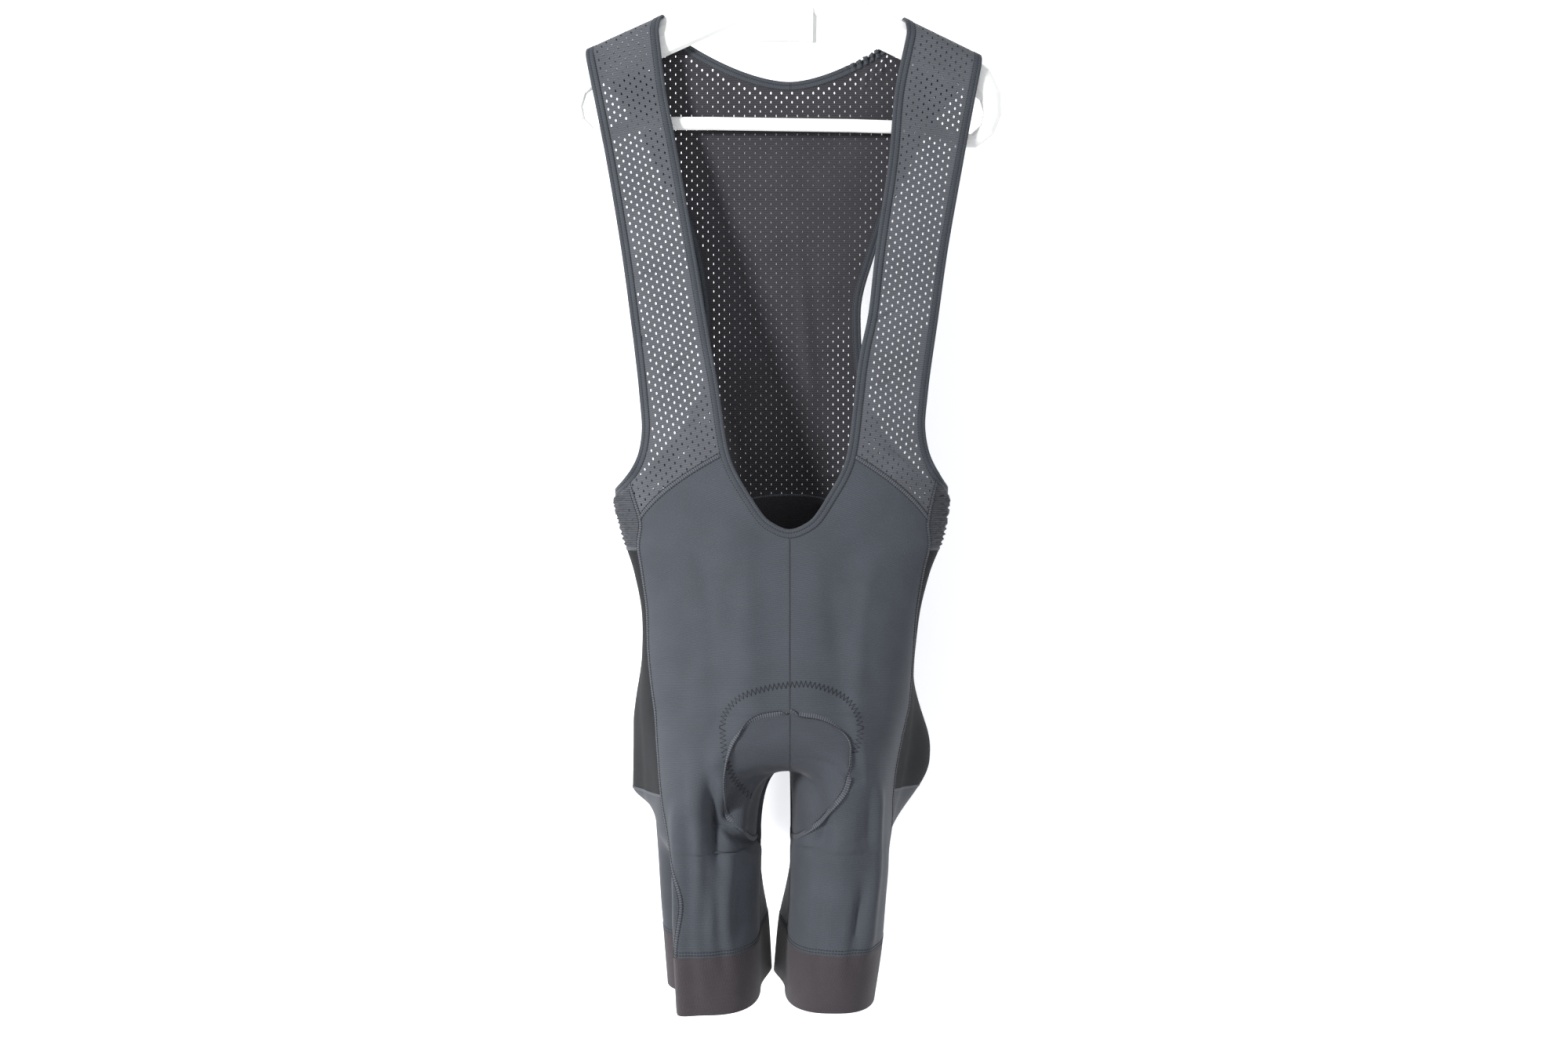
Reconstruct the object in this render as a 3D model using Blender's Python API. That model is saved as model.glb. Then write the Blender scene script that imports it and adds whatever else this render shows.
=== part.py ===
"""Cycling bib shorts hanging on a moulded hanger, with every piece of cloth a thin wall.

Metres, +Z up. The front of the garment faces -Y. Left and right are as seen from the front.
The origin is the inside top of the hanger's hook, where a rail would hold it.
"""

from collections import namedtuple
import math

import bmesh
import bpy
from mathutils import Matrix, Vector

# Cloth walls and the seams between them
KNIT_WALL = 0.0016
GRIPPER_WALL = 0.0020
BINDING_WALL = 0.0024
SEAM_GAP = 0.0003
NECK_BINDING_WIDTH = 0.0087
ARM_BINDING_WIDTH = 0.0076

# The garment's centre line
CENTRE_X = 0.003

# The hanger, before it is tilted about its hook
HANGER_TILT = math.radians(0.9)
ARM_SLOPE = math.tan(math.radians(25.2))
ARM_APEX_Z = -0.0595
HOOK_INNER_RADIUS = 0.0165
HOOK_WIRE_RADIUS = 0.0035
FOLD_CLEARANCE = 0.0020

# Net sizes of the grid that the panels are cut from
FRONT_COLUMNS = 5
UNDERARM_COLUMNS = 4
SHOULDER_COLUMNS = 5
NECKLINE_COLUMNS = 4
FOLD_STEPS = 4
GUSSET_COLUMNS = 4
GUSSET_FAN = 1.25
WELD = 0.0001

# Gathers under the armholes: rows alternate in and out
GATHER_DEPTH = 0.0011

SIDES = {"l": -1, "r": 1}

# Horizontal sections: depths of front and back, each side's outer edge and its middle, how far
# the back leans inwards, and how square the section is (2 is an ellipse)
Section = namedtuple("Section", "z front back left_out left_mid right_mid right_out lean square")
SECTIONS = (
    Section(-0.110, -0.0125, 0.0125, -0.290, CENTRE_X, CENTRE_X, 0.290, 0.0, 2.4),
    Section(-0.190, -0.0130, 0.0130, -0.280, CENTRE_X, CENTRE_X, 0.275, 0.0, 2.4),
    Section(-0.270, -0.0185, 0.0200, -0.255, CENTRE_X, CENTRE_X, 0.250, 0.0, 2.4),
    Section(-0.345, -0.0240, 0.0310, -0.232, CENTRE_X, CENTRE_X, 0.226, 0.0, 2.4),
    Section(-0.410, -0.0290, 0.0410, -0.210, CENTRE_X, CENTRE_X, 0.204, 0.0, 2.4),
    Section(-0.485, -0.0360, 0.0520, -0.189, CENTRE_X, CENTRE_X, 0.180, 0.0, 2.4),
    Section(-0.530, -0.0410, 0.0580, -0.178, CENTRE_X, CENTRE_X, 0.168, 0.0, 2.4),
    Section(-0.580, -0.0450, 0.0640, -0.1720, CENTRE_X, CENTRE_X, 0.1620, 0.0, 2.4),
    Section(-0.620, -0.0480, 0.0650, -0.1625, CENTRE_X, CENTRE_X, 0.1560, 0.0, 2.4),
    Section(-0.660, -0.0510, 0.0640, -0.1495, CENTRE_X, CENTRE_X, 0.1410, 0.0, 2.4),
    Section(-0.700, -0.0550, 0.0660, -0.1420, CENTRE_X, CENTRE_X, 0.1310, 0.0, 2.4),
    Section(-0.740, -0.0620, 0.0760, -0.1400, CENTRE_X, CENTRE_X, 0.1260, 0.0, 2.4),
    Section(-0.7875, -0.0720, 0.0900, -0.1360, CENTRE_X, CENTRE_X, 0.1190, 0.0, 2.4),
    Section(-0.820, -0.0760, 0.0980, -0.1325, -0.0300, 0.0250, 0.1110, 0.0, 2.4),
    Section(-0.860, -0.0750, 0.1020, -0.1295, -0.0640, 0.0460, 0.1030, 0.0, 2.4),
    Section(-0.900, -0.0710, 0.1000, -0.1280, -0.0765, 0.0520, 0.1000, 0.0, 2.4),
    Section(-0.940, -0.0690, 0.0960, -0.1270, -0.0765, 0.0525, 0.1005, 0.010, 2.4),
    Section(-0.980, -0.0680, 0.0930, -0.1250, -0.0760, 0.0505, 0.0975, 0.024, 2.5),
    Section(-1.020, -0.0670, 0.0910, -0.1220, -0.0743, 0.0475, 0.0940, 0.033, 2.6),
    Section(-1.077, -0.0600, 0.0890, -0.1185, -0.0722, 0.0425, 0.0860, 0.0365, 2.6),
)

# Rows down a front strap: its seams to the neck binding and to the arm binding
StrapRow = namedtuple("StrapRow", "in_x in_z out_x out_z steps")
STRAP_ROWS = {
    "l": (
        StrapRow(-0.1330, None, -0.1890, None, 3),
        StrapRow(-0.1260, -0.186, -0.1810, -0.192, 3),
        StrapRow(-0.1145, -0.247, -0.1695, -0.249, 4),
        StrapRow(-0.0970, -0.345, -0.1530, -0.345, 3),
        StrapRow(-0.0860, -0.410, -0.1440, -0.410, 2),
        StrapRow(-0.0800, -0.445, -0.1355, -0.480, 2),
        StrapRow(-0.0760, -0.466, -0.1320, -0.525, 1),
        StrapRow(-0.0735, -0.480, -0.1375, -0.555, 1),
    ),
    "r": (
        StrapRow(0.1260, None, 0.1840, None, 3),
        StrapRow(0.1130, -0.197, 0.1760, -0.200, 2),
        StrapRow(0.1085, -0.250, 0.1665, -0.250, 4),
        StrapRow(0.0940, -0.350, 0.1485, -0.350, 3),
        StrapRow(0.0870, -0.410, 0.1400, -0.410, 2),
        StrapRow(0.0795, -0.445, 0.1300, -0.480, 2),
        StrapRow(0.0760, -0.467, 0.1265, -0.520, 1),
        StrapRow(0.0745, -0.480, 0.1320, -0.552, 1),
    ),
}

# Rows down the upper back: its seam to the arm binding, and its middle
YokeRow = namedtuple("YokeRow", "out_x out_z mid_z steps")
YOKE_ROWS = {
    "l": (
        YokeRow(-0.1890, None, -0.1814, 3),
        YokeRow(-0.1510, -0.1975, -0.220, 3),
        YokeRow(-0.1165, -0.2655, -0.270, 3),
        YokeRow(-0.0900, -0.325, -0.320, 3),
        YokeRow(-0.0775, -0.405, -0.375, 3),
        YokeRow(-0.0770, -0.466, -0.425, 2),
        YokeRow(-0.0960, -0.512, -0.452, 2),
        YokeRow(-0.1230, -0.549, -0.475, 2),
    ),
    "r": (
        YokeRow(0.1840, None, -0.1814, 3),
        YokeRow(0.1500, -0.195, -0.220, 3),
        YokeRow(0.1085, -0.268, -0.270, 3),
        YokeRow(0.0830, -0.335, -0.320, 3),
        YokeRow(0.0675, -0.400, -0.375, 3),
        YokeRow(0.0720, -0.470, -0.425, 2),
        YokeRow(0.0900, -0.518, -0.452, 2),
        YokeRow(0.1130, -0.550, -0.475, 2),
    ),
}
NECK_CORNER_X = {"l": -0.1225, "r": 0.1175}
NECKLINE_ROUND = 1.7

# Rows round the body from the armholes down: the front's inner edge (neck, centre seam, gusset,
# inseam), the side seam, the corner under the arm, and the back's inner edge. Turns are degrees
# round a section, 0 at the outside, -90 at the front and 90 at the back. Names mark the seams.
BodyRow = namedtuple("BodyRow", "name in_x in_z seam_turn seam_z side_turn side_z dip back_x back_z steps")
BODY_ROWS = {
    "l": (
        BodyRow("armhole", -0.0720, -0.4900, -31, -0.575, 30, -0.578, 0.010, CENTRE_X, -0.500, 9),
        BodyRow("chest", -0.0624, -0.5470, -34, -0.608, 32, -0.612, 0.002, CENTRE_X, -0.556, 7),
        BodyRow("waist", -0.0412, -0.5890, -26, -0.636, 34, -0.636, 0.0, CENTRE_X, -0.583, 1),
        BodyRow("neck_turn", -0.0200, -0.6135, -23, -0.655, 35, -0.655, 0.0, CENTRE_X, -0.608, 1),
        BodyRow("neck", CENTRE_X, -0.6251, -21, -0.676, 35, -0.674, 0.0, CENTRE_X, -0.635, 3),
        BodyRow("belly", CENTRE_X, -0.7000, -19, -0.725, 35, -0.725, 0.0, CENTRE_X, -0.705, 3),
        BodyRow("gusset", CENTRE_X, -0.7875, -23, -0.787, 36, -0.785, 0.0, CENTRE_X, -0.780, 1),
        BodyRow("gusset_1", -0.0250, -0.7920, -24, -0.798, 38, -0.797, 0.0, -0.025, -0.786, 1),
        BodyRow("gusset_2", -0.0420, -0.8040, -25, -0.812, 40, -0.811, 0.0, -0.042, -0.799, 1),
        BodyRow("gusset_3", -0.0545, -0.8240, -27, -0.830, 42, -0.829, 0.0, -0.054, -0.819, 2),
        BodyRow("seat", -0.0585, -0.8540, -36, -0.872, 44, -0.884, 0.0, -0.058, -0.852, 2),
        BodyRow("gusset_4", -0.0530, -0.8840, -46, -0.896, 45, -0.904, 0.0, -0.052, -0.882, 1),
        BodyRow("gusset_5", -0.0410, -0.9040, -52, -0.910, 45, -0.916, 0.0, -0.040, -0.904, 1),
        BodyRow("inseam", -0.0200, -0.9270, -58, -0.930, 45, -0.934, 0.0, -0.020, -0.927, 2),
        BodyRow("leg", 0.0, -0.9700, -70, -0.970, 45, -0.970, 0.0, 0.0, -0.970, 2),
        BodyRow("gripper", 0.0, -1.0170, -62, -1.020, 45, -1.010, -0.002, 0.0, -1.017, 3),
        BodyRow("hem", 0.0, -1.0720, -60, -1.077, 45, -1.064, -0.003, 0.0, -1.072, 0),
    ),
    "r": (
        BodyRow("armhole", 0.0735, -0.4900, -30, -0.573, 30, -0.577, 0.010, CENTRE_X, -0.500, 9),
        BodyRow("chest", 0.0653, -0.5490, -33, -0.609, 32, -0.612, 0.002, CENTRE_X, -0.556, 7),
        BodyRow("waist", 0.0460, -0.5890, -26, -0.636, 34, -0.636, 0.0, CENTRE_X, -0.583, 1),
        BodyRow("neck_turn", 0.0260, -0.6135, -23, -0.655, 35, -0.655, 0.0, CENTRE_X, -0.608, 1),
        BodyRow("neck", CENTRE_X, -0.6251, -20, -0.676, 35, -0.674, 0.0, CENTRE_X, -0.635, 3),
        BodyRow("belly", CENTRE_X, -0.7000, -15, -0.725, 35, -0.725, 0.0, CENTRE_X, -0.705, 3),
        BodyRow("gusset", CENTRE_X, -0.7875, -10, -0.787, 36, -0.785, 0.0, CENTRE_X, -0.780, 1),
        BodyRow("gusset_1", 0.0300, -0.7920, -11, -0.798, 38, -0.797, 0.0, 0.030, -0.786, 1),
        BodyRow("gusset_2", 0.0470, -0.8005, -12, -0.812, 40, -0.811, 0.0, 0.047, -0.796, 1),
        BodyRow("gusset_3", 0.0620, -0.8215, -13, -0.830, 42, -0.829, 0.0, 0.061, -0.817, 2),
        BodyRow("seat", 0.0580, -0.8560, -12, -0.872, 44, -0.884, 0.0, 0.057, -0.852, 2),
        BodyRow("gusset_4", 0.0410, -0.8800, -6, -0.896, 45, -0.904, 0.0, 0.040, -0.878, 1),
        BodyRow("gusset_5", 0.0230, -0.8990, -3, -0.910, 45, -0.916, 0.0, 0.023, -0.899, 1),
        BodyRow("inseam", 0.0000, -0.9250, 0, -0.930, 45, -0.934, 0.0, 0.0, -0.925, 2),
        BodyRow("leg", -0.0200, -0.9700, 0, -0.970, 45, -0.970, 0.0, -0.020, -0.970, 2),
        BodyRow("gripper", -0.0200, -1.0180, 0, -1.018, 45, -1.016, 0.0, -0.020, -1.018, 3),
        BodyRow("hem", -0.0200, -1.0730, 0, -1.075, 45, -1.072, 0.0, -0.020, -1.073, 0),
    ),
}

# The gusset's centre seam, from the front seam under the crotch to the back seam
CrotchPoint = namedtuple("CrotchPoint", "share y z")
CROTCH_LINE = (
    CrotchPoint(0.00, -0.0720, -0.7875),
    CrotchPoint(0.13, -0.0752, -0.8130),
    CrotchPoint(0.27, -0.0640, -0.8360),
    CrotchPoint(0.38, -0.0400, -0.8480),
    CrotchPoint(0.50, 0.0050, -0.8510),
    CrotchPoint(0.62, 0.0480, -0.8460),
    CrotchPoint(0.75, 0.0800, -0.8280),
    CrotchPoint(0.88, 0.0920, -0.8030),
    CrotchPoint(1.00, 0.0880, -0.7800),
)

# Largest folds: a soft trough (depth below 0) or ridge between two heights. It turns from one
# place round the section to another, and grows and fades over the two lengths. Folds die out at
# the centre seams, down to a little below the top of the gusset.
Fold = namedtuple("Fold", "side turn_top z_top grow turn_end z_end fade spread depth")
FOLDS = (
    Fold("l", -32, -0.905, 0.050, -24, -1.120, 0.030, 16, -0.026),
    Fold("l", -66, -0.860, 0.030, -64, -1.110, 0.030, 11, 0.006),
    Fold("l", -104, -0.850, 0.030, -112, -0.915, 0.030, 12, -0.014),
    Fold("l", 32, -0.703, 0.112, 28, -0.906, 0.026, 27, 0.034),
    Fold("r", 34, -0.728, 0.110, 32, -0.946, 0.066, 28, 0.052),
    Fold("r", -48, -0.850, 0.030, -60, -1.030, 0.030, 10, 0.005),
    Fold("r", -104, -0.868, 0.030, -118, -0.935, 0.030, 14, -0.010),
    Fold("r", 62, -0.175, 0.030, 64, -0.480, 0.030, 5, 0.005),
    Fold("r", 54, -0.165, 0.030, 55, -0.440, 0.030, 4, -0.004),
    Fold("l", -75, -0.600, 0.030, -80, -0.860, 0.030, 7, 0.003),
    Fold("r", -72, -0.620, 0.030, -70, -0.860, 0.030, 8, -0.003),
)
CENTRE_FADE = math.radians(12)
GUSSET_TOP_Z = -0.7875
GUSSET_FADE = 0.040


def monotone(places, values):
    """Return a smooth function through the values that never overshoots them."""
    gaps = [b - a for a, b in zip(places, places[1:])]
    slopes = [(b - a) / gap for a, b, gap in zip(values, values[1:], gaps)]
    tangents = [slopes[0]]
    for before, after in zip(slopes, slopes[1:]):
        tangents.append(0.0 if before * after <= 0.0 else 2.0 * before * after / (before + after))
    tangents.append(slopes[-1])

    def value_at(place):
        place = min(max(place, places[0]), places[-1])
        index = 0
        while index < len(gaps) - 1 and place > places[index + 1]:
            index += 1
        gap = gaps[index]
        t = (place - places[index]) / gap
        rise = values[index + 1] - values[index]
        curve = (3.0 - 2.0 * t) * t * t * rise
        start = t * (1.0 - t) * (1.0 - t) * gap * tangents[index]
        end = t * t * (t - 1.0) * gap * tangents[index + 1]
        return values[index] + curve + start + end

    return value_at


def columns_of(rows, places, names):
    """Return each named column of a table as a smooth function of place."""
    return {name: monotone(places, [getattr(row, name) for row in rows]) for name in names}


def blend(a, b, share):
    return a + (b - a) * share


def smooth_step(share):
    share = min(max(share, 0.0), 1.0)
    return share * share * (3.0 - 2.0 * share)


SHAPE = columns_of(SECTIONS[::-1], [row.z for row in SECTIONS[::-1]], Section._fields[1:])


def fold_line(x):
    """Height of the cloth where it folds over the hanger's arm, at x."""
    tilt = HANGER_TILT if x > 0 else -HANGER_TILT
    slope = math.tan(math.atan(ARM_SLOPE) + tilt)
    apex_x = ARM_APEX_Z * math.sin(HANGER_TILT)
    return ARM_APEX_Z * math.cos(HANGER_TILT) + FOLD_CLEARANCE - slope * abs(x - apex_x)


def section(side, z):
    """Return a section's middle, half width, centre depth, half depth, lean and squareness."""
    name = "left" if side < 0 else "right"
    middle = SHAPE[name + "_mid"](z)
    half_width = abs(SHAPE[name + "_out"](z) - middle)
    front, back = SHAPE["front"](z), SHAPE["back"](z)
    lean, square = SHAPE["lean"](z), SHAPE["square"](z)
    return middle, half_width, (front + back) / 2, (back - front) / 2, lean, square


def signed_power(value, power):
    return math.copysign(abs(value) ** power, value)


def turn_at(side, x, z, face):
    """Return the turn round the section whose point has this x; face is -1 front, 1 back."""
    middle, half_width, square = (section(side, z)[index] for index in (0, 1, 5))
    share = min(max(side * (x - middle) / half_width, -1.0), 1.0)
    return face * math.acos(signed_power(share, square / 2))


def fold_height(side, turn, z):
    """Return how far the folds push the cloth out at this place."""
    height = 0.0
    for fold in FOLDS:
        if SIDES[fold.side] != side or not fold.z_end < z < fold.z_top:
            continue
        share = (fold.z_top - z) / (fold.z_top - fold.z_end)
        centre = math.radians(blend(fold.turn_top, fold.turn_end, share))
        across = (turn - centre) / math.radians(fold.spread)
        ends = smooth_step((fold.z_top - z) / fold.grow) * smooth_step((z - fold.z_end) / fold.fade)
        height += fold.depth * ends * math.exp(-across * across)
    at_centre = 1.0 - smooth_step(abs(abs(turn) - math.pi / 2) / CENTRE_FADE)
    return height * (1.0 - at_centre * smooth_step((z - GUSSET_TOP_Z) / GUSSET_FADE + 1.0))


def cloth_point(side, turn, z, raised=0.0):
    """Return the point of the cloth at a turn round the section at height z."""
    middle, half_width, centre_y, half_depth, lean, square = section(side, z)
    cosine, sine = math.cos(turn), math.sin(turn)
    across = signed_power(cosine, 2 / square)
    along = signed_power(sine, 2 / square)
    out = Vector((signed_power(cosine, 2 - 2 / square) / half_width,
                  signed_power(sine, 2 - 2 / square) / half_depth, 0.0)).normalized()
    height = fold_height(side, turn, z) + raised
    x = middle + side * (half_width * across - lean * max(along, 0.0) ** 2 + out.x * height)
    y = centre_y + half_depth * along + out.y * height
    return Vector((x, y, z))


def spread(curve, count):
    """Return count + 1 points at equal lengths along a curve given on 0 to 1."""
    samples = 8 * count
    points = [curve(index / samples) for index in range(samples + 1)]
    lengths = [0.0]
    for a, b in zip(points, points[1:]):
        lengths.append(lengths[-1] + (b - a).length)
    chosen = [curve(0.0)]
    index = 0
    for part in range(1, count):
        target = lengths[-1] * part / count
        while lengths[index + 1] < target:
            index += 1
        share = (target - lengths[index]) / (lengths[index + 1] - lengths[index])
        chosen.append(curve((index + share) / samples))
    chosen.append(curve(1.0))
    return chosen


def fine_places(rows):
    """Return the places of all rows, counting the steps between the table's own rows."""
    places = []
    for index, row in enumerate(rows):
        steps = max(row.steps, 1)
        places += [index + step / steps for step in range(steps)]
    return places


class Body:
    """The half of the garment below its armhole, on one side."""

    def __init__(self, key):
        self.side = SIDES[key]
        self.rows = BODY_ROWS[key]
        names = [name for name in BodyRow._fields if name not in ("name", "steps")]
        self.at = columns_of(self.rows, list(range(len(self.rows))), names)
        self.places = fine_places(self.rows)

    def row_of(self, name):
        """Return the grid row at which the seam of this name lies."""
        place = [row.name for row in self.rows].index(name)
        return self.places.index(place)

    def gather(self, index, share):
        """Return the height of the gathers in a grid row, at this share of the way under the arm."""
        if not 0 < index < self.row_of("waist"):
            return 0.0
        fade = smooth_step(4.0 * min(share, 1.0 - share))
        return GATHER_DEPTH * fade * (1 if index % 2 else -1)

    def row(self, index):
        """Return the points of one grid row, front to back, in its three parts."""
        at = {name: column(self.places[index]) for name, column in self.at.items()}
        side = self.side
        front_turn = turn_at(side, at["in_x"], at["in_z"], -1)
        seam_turn, side_turn = math.radians(at["seam_turn"]), math.radians(at["side_turn"])
        back_turn = turn_at(side, at["back_x"], at["back_z"], 1)

        def front(share):
            return cloth_point(side, blend(front_turn, seam_turn, share),
                               blend(at["in_z"], at["seam_z"], share))

        def under(share):
            turn = blend(seam_turn, side_turn, share)
            z = blend(at["seam_z"], at["side_z"], share) - 4.0 * at["dip"] * share * (1.0 - share)
            return cloth_point(side, turn, z, self.gather(index, share))

        def back(share):
            z = blend(at["side_z"], at["back_z"], smooth_step(share))
            return cloth_point(side, blend(side_turn, back_turn, share), z)

        return (spread(front, FRONT_COLUMNS), spread(under, UNDERARM_COLUMNS),
                spread(back, SHOULDER_COLUMNS + NECKLINE_COLUMNS))


def strap_rows(key, body):
    """Return the rows of a strap from its shoulder seam, over the arm, down to the armhole."""
    side = SIDES[key]
    rows = [row for row in STRAP_ROWS[key]]
    shoulder_z = []
    for x in (rows[0].in_x, rows[0].out_x):
        top = fold_line(x)
        shoulder_z.append(top + cloth_point(side, turn_at(side, x, top, -1), top).y)
    rows[0] = rows[0]._replace(in_z=shoulder_z[0], out_z=shoulder_z[1])
    armhole = body.rows[0]
    end = cloth_point(side, math.radians(armhole.seam_turn), armhole.seam_z)
    rows.append(StrapRow(armhole.in_x, armhole.in_z, end.x, end.z, 1))
    at = columns_of(rows, list(range(len(rows))), ("in_x", "in_z", "out_x", "out_z"))
    grid = []
    for step in range(FOLD_STEPS):
        bend = math.pi * (1.0 - step / FOLD_STEPS)
        line = []
        for column in range(FRONT_COLUMNS + 1):
            share = column / FRONT_COLUMNS
            back_x = blend(NECK_CORNER_X[key], rows[0].out_x, share)
            front_x = blend(rows[0].in_x, rows[0].out_x, share)
            x = blend(front_x, back_x, bend / math.pi)
            z = blend(rows[0].in_z, rows[0].out_z, share)
            y = cloth_point(side, turn_at(side, front_x, z, -1), z).y
            lift = fold_line(x) - fold_line(front_x)
            line.append(Vector((x, y * math.cos(bend), z + (lift - y) * math.sin(bend))))
        grid.append(line)
    for place in fine_places(rows)[:-1]:
        in_x, in_z, out_x, out_z = (at[name](place) for name in ("in_x", "in_z", "out_x", "out_z"))
        ends = turn_at(side, in_x, in_z, -1), turn_at(side, out_x, out_z, -1)

        def across(share):
            return cloth_point(side, blend(ends[0], ends[1], share), blend(in_z, out_z, share))

        grid.append(spread(across, FRONT_COLUMNS))
    return grid


def yoke_rows(key, body, shoulder):
    """Return the rows of the upper back, from the shoulder seam and neckline to the armhole."""
    side = SIDES[key]
    rows = [row for row in YOKE_ROWS[key]]
    corner, outer = shoulder[0], shoulder[-1]
    rows[0] = rows[0]._replace(out_x=outer.x, out_z=outer.z)
    armhole = body.rows[0]
    end = cloth_point(side, math.radians(armhole.side_turn), armhole.side_z)
    rows.append(YokeRow(end.x, end.z, armhole.back_z, 1))
    last = len(rows) - 1
    at = columns_of(rows, list(range(len(rows))), ("out_x", "out_z", "mid_z"))
    columns = SHOULDER_COLUMNS + NECKLINE_COLUMNS
    top = list(reversed(shoulder))
    for column in range(1, NECKLINE_COLUMNS + 1):
        share = column / NECKLINE_COLUMNS
        x = blend(corner.x, CENTRE_X, share)
        z = rows[0].mid_z + (corner.z - rows[0].mid_z) * (1.0 - share) ** NECKLINE_ROUND
        top.append(cloth_point(side, turn_at(side, x, z, 1), z))
    top_places = [(point.x - top[0].x) / (top[-1].x - top[0].x) for point in top]
    end_row = body.row(0)[2]
    end_places = [(point.x - end_row[0].x) / (end_row[-1].x - end_row[0].x) for point in end_row]
    grid = [top]
    for place in fine_places(rows)[1:-1]:
        out_x, out_z, mid_z = (at[name](place) for name in ("out_x", "out_z", "mid_z"))
        near_end = smooth_step(place / last)
        bulge = (1.0 - smooth_step(1.6 * place / last)) ** 2
        line = []
        for column in range(columns + 1):
            share = blend(top_places[column], end_places[column], near_end)
            x = blend(out_x, CENTRE_X, share)
            from_top = top[column].z - blend(top[0].z, top[-1].z, top_places[column])
            from_end = end_row[column].z - blend(end_row[0].z, end_row[-1].z, end_places[column])
            z = blend(out_z, mid_z, share) + from_top * bulge + from_end * near_end
            line.append(cloth_point(side, turn_at(side, x, z, 1), z))
        grid.append(line)
    return grid


def gusset_rows(body):
    """Return the rows of a gusset half, from the front seam under the crotch to the back seam."""
    first, last = body.row_of("gusset"), body.row_of("inseam")
    front = [body.row(index)[0][0] for index in range(first, last + 1)]
    back = [body.row(index)[2][-1] for index in range(last - 1, first - 1, -1)]
    seam = front + back
    places = [point.share for point in CROTCH_LINE]
    depth = monotone(places, [point.y for point in CROTCH_LINE])
    height = monotone(places, [point.z for point in CROTCH_LINE])
    grid = []
    for index, outer in enumerate(seam):
        half = 2.0 * index / (len(seam) - 1)
        share = half ** GUSSET_FAN / 2 if half <= 1.0 else 1.0 - (2.0 - half) ** GUSSET_FAN / 2
        centre = Vector((CENTRE_X, depth(share), height(share)))
        if index in (0, len(seam) - 1):
            centre = outer.copy()
        corner = Vector((outer.x, (centre.y + outer.y) / 2, centre.z))
        line = []
        for column in range(GUSSET_COLUMNS + 1):
            t = column / GUSSET_COLUMNS
            line.append(centre * (1 - t) ** 2 + corner * (2 * t * (1 - t)) + outer * t ** 2)
        grid.append(line)
    return grid


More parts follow.
